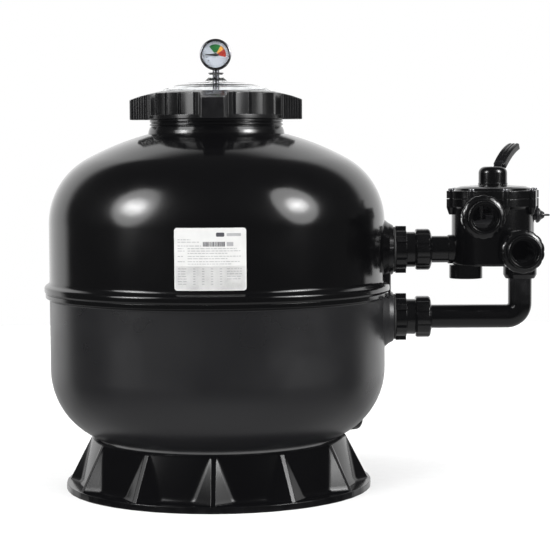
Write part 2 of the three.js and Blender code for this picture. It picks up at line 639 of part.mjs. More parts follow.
// The hub, stem, diverter, spring and lever turn together about the valve's axis.
function selector() {
  const turned = (profile, sides) => aboutZ(lathe(profile, sides), VALVE_X);
  const hubFrom = COVER_TOP_Z + GAP;
  const placed = (geometry) =>
    solid(geometry.rotateZ(THREE.MathUtils.degToRad(LEVER_AZIMUTH)).translate(VALVE_X, 0, 0));
  // Outlines in the lever's own plane, as (reach from the axis, height), given a width across it.
  const acrossPlane = (outline, width) => {
    const block = plate(outline, -width / 2, width / 2);
    return placed(block.rotateX(Math.PI / 2));
  };
  const dome = turned([
    [0, hubFrom], [HUB_R, hubFrom], ...arc(HUB_R - 12, HUB_TOP_Z - 12, 12, 0, 90, 5), [0, HUB_TOP_Z],
  ], WIDE);
  const slotFloor = COVER_TOP_Z + 13;
  const slot = acrossPlane([[-4, slotFloor], [40, slotFloor], [40, 610], [-4, 610]], 17);
  const pinSpot = { reach: 11, z: COVER_TOP_Z + 22 };
  const pinAlong = (radius, half) => {
    const pin = lathe(rodProfile(radius, -half, half), SMALL).rotateX(Math.PI / 2);
    return placed(pin.translate(pinSpot.reach, 0, pinSpot.z));
  };
  const stemSocket = turned(rodProfile(10, 540, slotFloor + 1), MEDIUM);
  const hub = cut(dome, slot, stemSocket, pinAlong(2.8, 21));
  addPart('selector_hub', hub, MATERIALS.glossBlack);
  addPart('lever_pin', pinAlong(2.4, 20), MATERIALS.steel);

  const upperEdge = new THREE.QuadraticBezierCurve(
    new THREE.Vector2(24, 595), new THREE.Vector2(54, 625), new THREE.Vector2(91, 634));
  const lowerEdge = new THREE.QuadraticBezierCurve(
    new THREE.Vector2(96, 621.5), new THREE.Vector2(64, 612), new THREE.Vector2(33.5, 585));
  const toPairs = (curve) => curve.getPoints(7).map(({ x, y }) => [x, y]);
  const grip = acrossPlane([...toPairs(upperEdge), ...toPairs(lowerEdge), [31, 581], [27, 588]], 23);
  const root = acrossPlane([
    [30, 601], [22, 594.5], [14, 586.5], ...arc(pinSpot.reach, pinSpot.z, 7, 90, 270, 6),
    [16, pinSpot.z - 7], [30, 581], [38, 591],
  ], 15.6);
  const aroundHub = turned(rodProfile(HUB_R + 1, 540, HUB_TOP_Z + 1), WIDE);
  const lever = cut(join(grip.subtract(aroundHub), root), pinAlong(2.8, 21));
  addPart('selector_lever', lever, MATERIALS.darkGrey);

  const stem = turned([
    [0, 500.3], [8.8, 500.3], [8.8, COVER_TOP_Z + 3], [7.5, COVER_TOP_Z + 6], [0, COVER_TOP_Z + 6],
  ], SMALL);
  addPart('selector_stem', stem, MATERIALS.steel);
  const window = aboutZ(lathe(rodProfile(12, 470, 500), SMALL), VALVE_X - 40, 0);
  const diverter = turned([
    [0, 478.4], [58, 478.4], [58, 486], [20, 492], [13, 493], [13, 500], [0, 500],
  ], WIDE);
  addPart('diverter', cut(diverter, window), MATERIALS.satinBlack);
  const gasketHoles = circle(40, 6, 0, 0, Math.PI / 6).map(([x, y]) => [x, y, 12]);
  const spider = aboutZ(plate(circle(60, WIDE), 475.3, 478, gasketHoles), VALVE_X);
  addPart('spider_gasket', spider, MATERIALS.rubber);

  const springTop = COVER_TOP_Z - 12.3;
  const springBottom = 496;
  const turns = 4;
  const wire = 1.5;
  class Helix extends THREE.Curve {
    getPoint(t, target = new THREE.Vector3()) {
      const a = t * turns * 2 * Math.PI;
      const z = springBottom + wire + t * (springTop - springBottom - 2 * wire);
      return target.set(16 * Math.cos(a), 16 * Math.sin(a), z);
    }
  }
  const section = new THREE.Shape(circle(wire, 4).map(([u, v]) => new THREE.Vector2(u, v)));
  const coiled = { extrudePath: new Helix(), steps: 44, bevelEnabled: false };
  addPart('selector_spring', aboutZ(new THREE.ExtrudeGeometry(section, coiled), VALVE_X), MATERIALS.steel);
}

// The waste port: a socket under the valve, with a spigot up into its lower chamber's floor.
function wasteAdapter() {
  const shoulderZ = VALVE_BOTTOM_Z - GAP;
  const spigotZ = VALVE_BOTTOM_Z + 7;
  const profile = [
    [24.2, WASTE_FACE_Z], [WASTE_R, WASTE_FACE_Z], [WASTE_R, shoulderZ], [23, shoulderZ], [23, spigotZ],
    [20, spigotZ], [20, 401], [24.2, 401], [24.2, WASTE_FACE_Z],
  ];
  addPart('waste_adapter', aboutZ(lathe(profile, MEDIUM), WASTE_X), MATERIALS.glossBlack);
}

// Union nut, seal and socket tailpiece on a front port; heights run forwards from the barrel's end.
function frontUnion(name, { x, z }) {
  const about = (profile) => {
    const seated = profile.map(([r, forward]) => [r, FRONT_SEAT + forward]);
    return aboutFront(lathe(seated, MEDIUM), x, z);
  };
  const nut = [
    [32.4, -15], [37.5, -15], [39.5, -13], [39.5, 9], [37, 12], [32, 14], [30.7, 14],
    [30.7, 6], [32.4, 6], [32.4, -15],
  ];
  addPart(`${name}_union_nut`, about(nut), MATERIALS.glossBlack);
  addPart(`${name}_union_seal`, about(ringProfile(22, 27, GAP, 2)), MATERIALS.rubber);
  const tail = [
    [20, 2.3], [31.4, 2.3], [31.4, 5.5], [29.8, 5.5], [29.8, 36], [28.8, 38], [25.1, 38], [25.1, 12],
    [20, 12], [20, 2.3],
  ];
  addPart(`${name}_tailpiece`, about(tail), MATERIALS.glossBlack);
}

function bleedPlug() {
  const stalk = aboutX(lathe([
    [0, 576], [4.9, 576], [4.9, 590.4], [13.5, 590.4], [13.5, 596], [9, 600], [5, 606], [0, 606],
  ], SMALL), 0, PLUG_Z);
  const tab = aboutX(plate([[-1.8, -6], [1.8, -6], [1.8, 6], [-1.8, 6]], 600, PLUG_TIP_X), 0, PLUG_Z);
  addPart('bleed_plug', join(stalk, tab), MATERIALS.satinBlack);
}

// ---------------------------------------------------------------- drain
// A piece turned about the drain's axis; heights are distances out from the tank's axis.
function drainPiece(profile, sides) {
  const turn = THREE.MathUtils.degToRad(DRAIN_AZIMUTH);
  return solid(lathe(profile, sides).rotateY(Math.PI / 2).rotateZ(turn).translate(0, 0, DRAIN_Z));
}

function drain() {
  const dome = [[0, 279.5], [23.5, 279.5], [25, 281], ...arc(18, 291, 7, 0, 90, 3), [0, 298]];
  const cap = drainPiece(dome, MEDIUM).subtract(drainPiece(rodProfile(12.5, 270, 291.3), MEDIUM));
  addPart('drain_cap', cap, MATERIALS.glossBlack);
  addPart('drain_seal', drainPiece(ringProfile(9.3, 11.6, 288.3, 291), SMALL), MATERIALS.rubber);
}

// ---------------------------------------------------------------- water ways inside the tank
function insidePipes() {
  const innerEnd = 261.5;
  const diffuserZ = 590;
  const bend = 40;
  const upper = bentTube([[innerEnd, UPPER_PORT_Z], [0, UPPER_PORT_Z], [0, diffuserZ]], bend, 24, 20, SMALL);
  addPart('upper_riser', upper, MATERIALS.pvcWhite);
  const diffuser = aboutZ(lathe([
    [20, diffuserZ + GAP], [28, diffuserZ + GAP], [34, 600], [62, 612], [62, 616], [30, 606], [20, 603],
    [20, diffuserZ + GAP],
  ], MEDIUM));
  addPart('top_diffuser', diffuser, MATERIALS.pvcWhite);

  const hubTop = 128;
  const lowerEnd = hubTop + GAP;
  const lower = bentTube([[innerEnd, LOWER_PORT_Z], [0, LOWER_PORT_Z], [0, lowerEnd]], bend, 24, 20, SMALL);
  addPart('lower_riser', lower, MATERIALS.pvcWhite);
  const laterals = 8;
  const lateralZ = 106;
  const arms = (radius, from, to) => Array.from({ length: laterals }, (_, i) =>
    solid(lathe(rodProfile(radius, from, to), 8).rotateY(Math.PI / 2)
      .rotateZ((2 * Math.PI * (i + 0.5)) / laterals).translate(0, 0, lateralZ)));
  const manifold = cut(
    join(aboutZ(lathe(rodProfile(40, 90, hubTop), MEDIUM)), ...arms(11, 37, 190)),
    aboutZ(lathe([[0, 95], [34, 95], [34, 121], [20, 121], [20, 140], [0, 140]], SMALL)),
  );
  addPart('lateral_manifold', manifold, MATERIALS.pvcWhite);
}

baseStand();
tankShells();
ratingLabel();
clearLid();
lidRing();
pressureGauge();
tankPort('upper', UPPER_PORT_Z, 25);
tankPort('lower', LOWER_PORT_Z, PIPE_R);
connectingPipes();
valveBody();
valveCover();
selector();
frontUnion('pump', PUMP_PORT);
frontUnion('return', RETURN_PORT);
wasteAdapter();
bleedPlug();
drain();
insidePipes();

group.position.x = -(PLUG_TIP_X - SEAM_R) / 2;

export default group;
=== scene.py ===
import json
import math
import random

import bmesh
import bpy
from mathutils import Matrix, Vector


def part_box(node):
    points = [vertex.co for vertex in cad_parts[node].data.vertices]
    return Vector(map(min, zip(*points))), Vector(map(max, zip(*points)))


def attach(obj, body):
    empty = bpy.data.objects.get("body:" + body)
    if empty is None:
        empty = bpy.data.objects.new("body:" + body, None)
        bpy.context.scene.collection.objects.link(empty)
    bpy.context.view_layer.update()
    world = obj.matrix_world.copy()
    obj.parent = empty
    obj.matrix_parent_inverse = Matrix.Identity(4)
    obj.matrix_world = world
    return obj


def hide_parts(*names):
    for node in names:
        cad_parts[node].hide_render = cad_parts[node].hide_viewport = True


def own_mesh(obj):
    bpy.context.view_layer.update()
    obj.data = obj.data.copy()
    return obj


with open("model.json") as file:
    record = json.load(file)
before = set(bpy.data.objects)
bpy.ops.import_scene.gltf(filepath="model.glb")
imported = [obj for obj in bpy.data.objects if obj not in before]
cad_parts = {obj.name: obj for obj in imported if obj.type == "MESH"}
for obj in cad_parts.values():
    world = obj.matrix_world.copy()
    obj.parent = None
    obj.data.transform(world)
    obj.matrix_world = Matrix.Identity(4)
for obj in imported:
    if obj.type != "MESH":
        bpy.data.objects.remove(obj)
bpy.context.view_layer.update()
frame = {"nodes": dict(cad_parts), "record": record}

# Looks of a side-mount pool sand filter. Shapes are made in millimetres from the tank's axis and the
# floor, as the CAD part is, and TO_ROW puts them in the frame's metres.
FULL_TURN = 2 * math.pi
RECORD = frame["record"]
SLOT_OF = {part["node"]: part["material_slot"] for part in RECORD["subparts"]}
BODY_OF = {node: body for body, nodes in RECORD["behaviour"]["bodies"].items() for node in nodes}
LID_LOW, LID_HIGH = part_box("clear_lid")
TO_ROW = Matrix.Translation(((LID_LOW.x + LID_HIGH.x) / 2, 0, 0)) @ Matrix.Scale(0.001, 4)


def in_mm(node):
    """A CAD node's box in millimetres from the tank's axis."""
    low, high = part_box(node)
    back = TO_ROW.inverted()
    return back @ low, back @ high


# ---------------------------------------------------------------- driving dimensions, millimetres
GAP = 0.3
TANK_R = 310
WALL = 8
CROWN_R = 500
KNUCKLE_R = 135.4
LOWER_KNEE_Z = 222
UPPER_KNEE_Z = 490
SEAM_Z = in_mm("lower_shell")[1].z
SEAM_R = -in_mm("upper_shell")[0].x
BAND_R = SEAM_R - 2
SHELL_SIDES = 224
STAND_TOP_Z = in_mm("base_stand")[1].z
STAND_TOP_R = 236
RIM_R = in_mm("base_stand")[1].x
RIM_T = 12
RIDGES = 12
NECK_BORE_R = 101
NECK_R = in_mm("neck_collar")[1].x
NECK_TOP_Z = in_mm("neck_collar")[1].z
RING_LOW_Z = in_mm("lid_ring")[0].z
RING_HIGH_Z = in_mm("lid_ring")[1].z
RING_R = 125
LUG_R = in_mm("lid_ring")[1].x
GAUGE_R = in_mm("gauge_bezel")[1].x
GAUGE_Z = in_mm("gauge_bezel")[1].z - GAUGE_R
PORT_Z = {level: (in_mm(f"{level}_union_seal")[0].z + in_mm(f"{level}_union_seal")[1].z) / 2
          for level in ("upper", "lower")}
PAD_X = in_mm("upper_shell")[1].x
PAD_R = 45
WEB_X = 321
WEB_HALF = 28
PIPE_R = 21.8
PIPE_BORE_R = 17
STUB_END_X = 435.5
VALVE_X = (in_mm("cover_seal")[0].x + in_mm("cover_seal")[1].x) / 2
VALVE_R = 76
VALVE_LOW_Z = 409.5
VALVE_HIGH_Z = 531.5
COVER_R = 81.5
FLANGE_TOP_Z = VALVE_HIGH_Z + 15
COVER_TOP_Z = in_mm("valve_cover")[1].z
HUB_R = 27.2
HUB_TOP_Z = 590.5
COVER_SCREWS = 8
SCREW_CIRCLE_R = 79.5
FIRST_SCREW_AZIMUTH = math.radians(-80)
SPRING_LOW_Z = 496
SPRING_HIGH_Z = COVER_TOP_Z - 12.3
ELBOW_X = 561.4
WASTE_X = 461.1
WASTE_R = 30.7
WASTE_FACE_Z = 384
FRONT_PORTS = {"pump": (481.8, 501), "return": (552.2, 438.6)}
FRONT_SEAT = 102
PLUG_Z = 500.5
LEVER_AZIMUTH = math.radians(58)
PIN_REACH = 11
PIN_Z = 578.5
DRAIN_AZIMUTH = math.radians(27)
DRAIN_Z = 106.5
LABEL_LOW_Z = in_mm("rating_label")[0].z
LABEL_HIGH_Z = in_mm("rating_label")[1].z
LABEL_WIDTH = 122


# ---------------------------------------------------------------- shapes
def about_z(x=0, y=0, z=0):
    return Matrix.Translation((x, y, z))


def about_x(y=0, z=0):
    """Stands a shape made about +Z along +X."""
    return Matrix.Translation((0, y, z)) @ Matrix.Rotation(math.pi / 2, 4, "Y")


def about_front(x=0, z=0):
    """Stands a shape made about +Z towards the front, -Y."""
    return Matrix.Translation((x, 0, z)) @ Matrix.Rotation(math.pi / 2, 4, "X")


def rounded(corners, closed, steps=4):
    """The path through corners (a, b), where a corner (a, b, radius) becomes an arc of steps pieces."""
    path = []
    count = len(corners)
    for i, corner in enumerate(corners):
        here = Vector(corner[:2])
        radius = corner[2] if len(corner) > 2 else 0
        if not radius or (not closed and i in (0, count - 1)):
            path.append(here)
            continue
        back = Vector(corners[i - 1][:2]) - here
        on = Vector(corners[(i + 1) % count][:2]) - here
        half = back.angle(on) / 2
        reach = max(radius / math.tan(half), 0.15 * radius)
        reach = min(reach, 0.45 * back.length, 0.45 * on.length)
        start = here + back.normalized() * reach
        end = here + on.normalized() * reach
        weight = math.sin(half)
        for k in range(steps + 1):
            t = k / steps
            parts = ((1 - t) ** 2, 2 * weight * t * (1 - t), t * t)
            path.append((start * parts[0] + here * parts[1] + end * parts[2]) / sum(parts))
    return path


def polar(radius, angle):
    return radius * math.cos(angle), radius * math.sin(angle)


def circle(radius, sides=64, x=0, y=0):
    return [(x + radius * math.cos(a), y + radius * math.sin(a))
            for a in (FULL_TURN * i / sides for i in range(sides))]


def arc(cx, cy, radius, start, end, steps):
    """Points of an arc between two angles in degrees."""
    turns = [math.radians(start + (end - start) * i / steps) for i in range(steps + 1)]
    return [(cx + radius * math.cos(a), cy + radius * math.sin(a)) for a in turns]


def skin(rings, wrap=False, caps=False):
    """Faces over rings of points: wrap joins the last ring to the first, caps closes both ends."""
    bm = bmesh.new()
    rows = [[bm.verts.new(point) for point in ring] for ring in rings]
    pairs = list(zip(rows, rows[1:]))
    if wrap:
        pairs.append((rows[-1], rows[0]))
    for low, high in pairs:
        for i in range(max(len(low), len(high))):
            j = (i + 1) % max(len(low), len(high))
            below = [low[0]] if len(low) == 1 else [low[i], low[j]]
            above = [high[0]] if len(high) == 1 else [high[j], high[i]]
            bm.faces.new(below + above)
    if caps:
        bm.faces.new(rows[0])
        bm.faces.new(rows[-1])
    bmesh.ops.recalc_face_normals(bm, faces=bm.faces)
    return bm


def lathe(profile, place=Matrix(), sides=64):
    """A path of (radius, height, rounding) turned about +Z: from axis to axis, or closed on itself."""
    closed = profile[0][0] > 0
    rings = []
    for r, z in rounded(profile, closed):
        rings.append([(0, 0, z)] if r < 1e-6 else [(x, y, z) for x, y in circle(r, sides)])
    bm = skin(rings, wrap=closed)
    bm.transform(place)
    return bm


def rod(radius, low, high, edge=0, place=Matrix(), sides=64):
    return lathe([(0, low), (radius, low, edge), (radius, high, edge), (0, high)], place, sides)


def shrunk(path, inset):
    """A closed path moved inwards by inset, for a path that turns to the left."""
    moved = []
    for i, here in enumerate(path):
        along = (path[(i + 1) % len(path)] - path[i - 1]).normalized()
        moved.append(here + Vector((-along.y, along.x)) * inset)
    return moved


def prism(outline, low, high, edge=0, place=Matrix(), steps=3):
    """An outline of (x, y, rounding) corners, turning left, raised from low to high with rounded rims."""
    path = rounded(outline, True)
    levels = [(low, 0), (high, 0)]
    if edge:
        bends = [math.pi / 2 * k / steps for k in range(steps + 1)]
        levels = [(low + edge * (1 - math.sin(a)), edge * (1 - math.cos(a))) for a in reversed(bends)]
        levels += [(high - edge * (1 - math.sin(a)), edge * (1 - math.cos(a))) for a in bends]
    rings = [[(p.x, p.y, z) for p in shrunk(path, inset)] for z, inset in levels]
    bm = skin(rings, caps=True)
    bm.transform(place)
    return bm


def bent_tube(straight_in, bend_centre, bend_radius, up_to, outer, inner, sides=48, steps=16):
    """A pipe in the plane y = 0: along +X from straight_in, round a quarter bend, then up to up_to."""
    cx, cz = bend_centre
    run = cx - straight_in
    stations = [(straight_in + run * share, cz - bend_radius, 0)
                for share in (0, 0.02, 0.05, 0.1, 0.2, 0.3, 0.4, 0.5, 0.6, 0.7, 0.8, 0.9)]
    for k in range(steps + 1):
        heading = math.pi / 2 * k / steps
        stations.append((cx + bend_radius * math.sin(heading), cz - bend_radius * math.cos(heading), heading))
    stations.append((cx + bend_radius, up_to, math.pi / 2))

    def ring(station, radius):
        x, z, heading = station
        return [(x - u * math.sin(heading), v, z + u * math.cos(heading)) for u, v in circle(radius, sides)]

    rings = [ring(s, outer) for s in stations] + [ring(s, inner) for s in reversed(stations)]
    return skin(rings, wrap=True)


def fluted(profile, bore, flutes, depth, place, sides=240, power=1.0):
    """A nut: an outer path of (radius, height, flute share) cut by flutes, round a bore path."""
    rings = []
    for radius, height, share in profile:
        ring = []
        for i in range(sides):
            a = FULL_TURN * i / sides
            wave = abs(math.sin(flutes * a / 2)) ** power
            ring.append((*polar(radius - depth * share * (1 - wave), a), height))
        rings.append(ring)
    for radius, height in bore:
        rings.append([(x, y, height) for x, y in circle(radius, sides)])
    bm = skin(rings, wrap=True)
    bm.transform(place)
    return bm


def as_object(bm):
    mesh = bpy.data.meshes.new("tool")
    bm.to_mesh(mesh)
    bm.free()
    made = bpy.data.objects.new("tool", mesh)
    bpy.context.scene.collection.objects.link(made)
    return made


def combined(bm, tools, operation):
    """bm with every tool joined to it (UNION) or cut out of it (DIFFERENCE)."""
    whole = as_object(bm)
    helpers = [as_object(tool) for tool in tools]
    for helper in helpers:
        modifier = whole.modifiers.new("combine", "BOOLEAN")
        modifier.operation = operation
        modifier.solver = "EXACT"
        modifier.object = helper
    graph = bpy.context.evaluated_depsgraph_get()
    result = bmesh.new()
    result.from_mesh(whole.evaluated_get(graph).to_mesh())
    for used in [whole, *helpers]:
        bpy.data.meshes.remove(used.data)
    return result


def joined(bm, *tools):
    return combined(bm, tools, "UNION")


def cut(bm, *tools):
    return combined(bm, tools, "DIFFERENCE")


def merged(*parts):
    """Separate closed bodies kept in one mesh."""
    whole = bmesh.new()
    for part in parts:
        mesh = bpy.data.meshes.new("part")
        part.to_mesh(mesh)
        part.free()
        whole.from_mesh(mesh)
        bpy.data.meshes.remove(mesh)
    return whole


def piece(name, bm, node, look=None, also=(), sharp=38, shown_for=True):
    """The finished piece: placed in the frame, smooth, riding with node's body and standing for it."""
    mesh = bpy.data.meshes.new(name)
    bm.transform(TO_ROW)
    bm.to_mesh(mesh)
    bm.free()
    mesh.shade_smooth()
    mesh.set_sharp_from_angle(angle=math.radians(sharp))
    mesh.materials.append(look or LOOKS[SLOT_OF[node]])
    made = bpy.data.objects.new(name, mesh)
    bpy.context.scene.collection.objects.link(made)
    normals = made.modifiers.new("normals", "WEIGHTED_NORMAL")
    normals.keep_sharp = True
    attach(made, BODY_OF[node])
    if shown_for:
        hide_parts(node, *also)
    return made


# ---------------------------------------------------------------- materials
def add_node(tree, kind, inputs=None, **settings):
    """A shader node with its settings, and its inputs given as values or as sockets to link."""
    made = tree.nodes.new(kind)
    for key, value in settings.items():
        setattr(made, key, value)
    for key, value in (inputs or {}).items():
        if isinstance(value, bpy.types.NodeSocket):
            tree.links.new(value, made.inputs[key])
        else:
            made.inputs[key].default_value = value
    return made


def noise(tree, scale, detail=3.0, stretch=None):
    """Object-space noise; scale is in waves per metre."""
    place = add_node(tree, "ShaderNodeTexCoord").outputs["Object"]
    if stretch:
        place = add_node(tree, "ShaderNodeMapping", {"Vector": place, "Scale": stretch}).outputs["Vector"]
    return add_node(tree, "ShaderNodeTexNoise", {"Vector": place, "Scale": scale, "Detail": detail})


def between(tree, factor, low, high, start=0.35, end=0.65):
    """A number that follows factor from low to high."""
    made = add_node(tree, "ShaderNodeMapRange", {
        "Value": factor, "From Min": start, "From Max": end, "To Min": low, "To Max": high})
    return made.outputs["Result"]


def blended(tree, factor, first, second):
    """A colour that follows factor from first to second."""
    made = add_node(tree, "ShaderNodeMix", {0: factor}, data_type="RGBA")
    colour_a, colour_b = made.inputs[6], made.inputs[7]
    colour_a.default_value = (*first, 1)
    colour_b.default_value = (*second, 1)
    return made.outputs[2]


def surface(name, color, worn, roughness, relief, grain, metallic=0.0, smudge=7.0, stretch=None, shine=0.5):
    """A solid finish: colour that pales on worn edges, smudged roughness, and a fine moulded relief.

    roughness is (least, most), relief is the grain's depth in millimetres, grain its waves per metre.
    """
    material = bpy.data.materials.new(name)
    material.use_nodes = True
    tree = material.node_tree
    shader = tree.nodes["Principled BSDF"]
    shader.inputs["Metallic"].default_value = metallic
    shader.inputs["Specular IOR Level"].default_value = shine
    edge = add_node(tree, "ShaderNodeNewGeometry").outputs["Pointiness"]
    mottle = noise(tree, 45.0, 4.0).outputs["Fac"]
    rubbed = add_node(tree, "ShaderNodeMath", {
        0: between(tree, edge, 0.0, 1.0, 0.52, 0.6), 1: between(tree, mottle, 0.15, 1.0)},
        operation="MULTIPLY").outputs["Value"]
    tree.links.new(blended(tree, rubbed, color, worn), shader.inputs["Base Color"])
    patches = noise(tree, smudge, 5.0, stretch).outputs["Fac"]
    tree.links.new(between(tree, patches, *roughness), shader.inputs["Roughness"])
    height = noise(tree, grain, 3.0, stretch).outputs["Fac"]
    bump = add_node(tree, "ShaderNodeBump", {"Height": height, "Strength": 1.0, "Distance": relief * 0.001})
    tree.links.new(bump.outputs["Normal"], shader.inputs["Normal"])
    return material


def clear(name, tint, roughness):
    """Clear polished plastic with faint smears."""
    material = bpy.data.materials.new(name)
    material.use_nodes = True
    tree = material.node_tree
    shader = tree.nodes["Principled BSDF"]
    shader.inputs["Base Color"].default_value = (*tint, 1)
    shader.inputs["Transmission Weight"].default_value = 1.0
    shader.inputs["IOR"].default_value = 1.15
    smear = noise(tree, 25.0, 4.0).outputs["Fac"]
    tree.links.new(between(tree, smear, *roughness), shader.inputs["Roughness"])
    return material


LOOKS = {
    "gloss_black": surface("gloss black plastic", (0.0032, 0.0032, 0.0036), (0.02, 0.02, 0.021),
                           (0.11, 0.19), 0.012, 90.0),
    "satin_black": surface("satin black plastic", (0.0115, 0.0115, 0.0127), (0.03, 0.03, 0.031),
                           (0.27, 0.36), 0.02, 420.0),
    "dark_grey": surface("charcoal plastic", (0.0045, 0.0045, 0.005), (0.03, 0.03, 0.032),
                         (0.17, 0.27), 0.03, 700.0),
    "stand_black": surface("stand black plastic", (0.0035, 0.0035, 0.004), (0.02, 0.02, 0.021),
                           (0.13, 0.2), 0.012, 90.0, shine=0.15),
    "black_rubber": surface("black rubber", (0.012, 0.012, 0.012), (0.03, 0.03, 0.03),
                            (0.6, 0.75), 0.05, 900.0),
    "clear_plastic": clear("clear lid plastic", (0.98, 0.99, 0.995), (0.0, 0.04)),
    "gauge_metal": surface("dark gauge metal", (0.13, 0.13, 0.14), (0.35, 0.35, 0.36),
                           (0.22, 0.34), 0.01, 300.0, metallic=1.0),
    "steel": surface("stainless steel", (0.55, 0.55, 0.56), (0.7, 0.7, 0.7),
                     (0.22, 0.36), 0.01, 400.0, metallic=1.0, stretch=(1, 1, 8)),
    "brass": surface("turned brass", (0.55, 0.4, 0.17), (0.75, 0.6, 0.3),
                     (0.25, 0.4), 0.01, 400.0, metallic=1.0),
    # The dial is white; its colour here is darkened to grey, painted shade standing for the shade of the
    # gauge cup and bezel over it.
    "dial_white": surface("printed dial in painted shade", (0.34, 0.36, 0.4), (0.42, 0.43, 0.46), (0.4, 0.5), 0.004, 600.0),
    "needle_black": surface("needle enamel", (0.02, 0.02, 0.02), (0.05, 0.05, 0.05),
                            (0.4, 0.5), 0.004, 600.0),
    "label_white": surface("printed vinyl", (0.74, 0.74, 0.73), (0.8, 0.8, 0.79),
                           (0.28, 0.4), 0.01, 160.0),
    "white_plastic": surface("white plastic", (0.74, 0.73, 0.68), (0.82, 0.81, 0.77),
                             (0.3, 0.42), 0.02, 500.0),
}
INKS = {
    name: surface(f"{name} ink", color, tuple(min(1, 1.3 * c) for c in color), (0.4, 0.5), 0.002, 900.0)
    for name, color in {
        # Green, amber and red print only on the dial: partly their own print colour, partly painted shade of
        # the gauge cup, darkened along with the dial.
        "green": (0.006, 0.075, 0.015), "amber": (0.42, 0.19, 0.03), "red": (0.2, 0.015, 0.008),
        "pale grey": (0.6, 0.6, 0.6), "grey": (0.36, 0.36, 0.37), "dark grey": (0.06, 0.06, 0.07),
    }.items()
}


# ---------------------------------------------------------------- base stand
def skirt_ring(z, inset=0.0, foot_flare=0.0):
    """The skirt's outline at height z: narrow ridges, sloping flanks and panels set back between them."""
    down = (STAND_TOP_Z - z) / (STAND_TOP_Z - RIM_T)
    ridge = STAND_TOP_R + 42 * down - inset
    panel = STAND_TOP_R + 20 * down - inset + foot_flare
    half_strip = 4
    pitch = FULL_TURN / RIDGES
    corners = []
    for i in range(RIDGES):
        middle = i * pitch - math.pi / 2
        strip = half_strip / ridge
        foot = (half_strip + 1.5 + 32 * down) / panel
        corners += [(ridge, middle - strip, 2.6), (ridge, middle + strip, 2.6), (panel, middle + foot, 30)]
        corners += [(panel, middle + pitch / 2, 0), (panel, middle + pitch - foot, 30)]
    outline = rounded([(*polar(r, a), rounding) for r, a, rounding in corners], True, 6)
    return [(p.x, p.y, z) for p in outline]


def rim_ring(radius, z):
    return [(*polar(radius, math.atan2(y, x)), z) for x, y, _ in skirt_ring(RIM_T)]


def base_stand():
    fillet_top = RIM_T + 6
    rings = [rim_ring(RIM_R - 1, 0), rim_ring(RIM_R, 1), rim_ring(RIM_R, RIM_T - 2),
             rim_ring(RIM_R - 0.5, RIM_T - 0.6), rim_ring(RIM_R - 1.2, RIM_T)]
    for z in (RIM_T, 13.2, 15, fillet_top, 23, 30, 39, 48, 58, 66, 73, 79, 84, 88, 91):
        rings.append(skirt_ring(z, foot_flare=5 * max(0, (fillet_top - z) / 6) ** 2))
    lip = [(235.6, 92.4), (234.9, 93.4), (233.6, STAND_TOP_Z), (227, STAND_TOP_Z), (225, 93.2), (224, 91)]
    rings += [rim_ring(radius, z) for radius, z in lip]
    rings += [skirt_ring(60, 6), skirt_ring(RIM_T, 6), skirt_ring(0, 9)]
    piece("stand", skin(rings, wrap=True), "base_stand", LOOKS["stand_black"], sharp=50)


# ---------------------------------------------------------------- tank
def dished_end(knee_z, side, inset, end_radius):
    """Half outline of a dished end from the straight wall inwards; side is 1 up, -1 down."""
    reach = TANK_R - KNUCKLE_R
    drop = math.sqrt((CROWN_R - KNUCKLE_R) ** 2 - reach ** 2)
    knee = math.degrees(math.atan2(drop, reach))
    crown = CROWN_R - inset
    last = math.degrees(math.acos(end_radius / crown))
    shoulder = arc(reach, knee_z, KNUCKLE_R - inset, 0, side * knee, 22)
    top = arc(0, knee_z - side * drop, crown, side * knee, side * last, 14)
    return shoulder + top[1:]


def port_pad(level, seam_z):
    """The flared boss on the wall round a tank port, and the rib from it to the seam."""
    port_z = PORT_Z[level]
    boss = lathe([(0, 240), (PAD_R + 19, 240), (PAD_R + 19, 300, 6), (PAD_R + 5, 317, 9),
                  (PAD_R + 0.6, PAD_X - 1, 0.6), (PAD_R - 1, PAD_X, 0.6), (0, PAD_X)], about_x(0, port_z), 96)
    low, high = sorted((seam_z, port_z))
    web = prism([(240, -WEB_HALF), (WEB_X, -WEB_HALF, 9), (WEB_X, WEB_HALF, 9), (240, WEB_HALF)], low, high)
    beyond = (seam_z - 100, seam_z) if port_z > seam_z else (seam_z, seam_z + 100)
    return cut(joined(boss, web), rod(400, *beyond))


def drain_place():
    """Out along the drain, from the tank's axis."""
    return (Matrix.Translation((0, 0, DRAIN_Z)) @ Matrix.Rotation(DRAIN_AZIMUTH, 4, "Z")
            @ Matrix.Rotation(math.pi / 2, 4, "Y"))


def lower_shell():
    """The lower half of the tank, satin below the seam and gloss on the seam's band."""
    outer = dished_end(LOWER_KNEE_Z, -1, 0, 0)[::-1]
    inner = dished_end(LOWER_KNEE_Z, -1, WALL, 0)
    outer[0] = (0, outer[0][1])
    inner[-1] = (0, inner[-1][1])
    cavity_top = [(TANK_R - WALL, SEAM_Z + 20), (0, SEAM_Z + 20)]
    cavity = lathe(inner[::-1] + cavity_top, sides=SHELL_SIDES)
    wall = [(TANK_R, LOWER_KNEE_Z + 40), (TANK_R, SEAM_Z - 40), (TANK_R, SEAM_Z - 20), (TANK_R, SEAM_Z - 15)]
    band = [(TANK_R, SEAM_Z - 11.5, 3), (BAND_R, SEAM_Z - 7.5, 1.5), (BAND_R, SEAM_Z, 0.5)]
    shell = lathe(outer + wall + band + [(TANK_R - WALL, SEAM_Z)] + inner, sides=SHELL_SIDES)
    boss = rod(12, 225, 288, 1, drain_place(), 48)
    shell = joined(shell, port_pad("lower", SEAM_Z), boss)
    port_hole = rod(26.5, 230, 340, 0, about_x(0, PORT_Z["lower"]))
    shell = cut(shell, port_hole, rod(9, 200, 300, 0, drain_place(), 32), cavity)
    made = piece("lower_tank", shell, "lower_shell")
    made.data.materials.append(LOOKS["gloss_black"])
    for face in made.data.polygons:
        if face.center.z > (SEAM_Z - 11.4) / 1000:
            face.material_index = 1


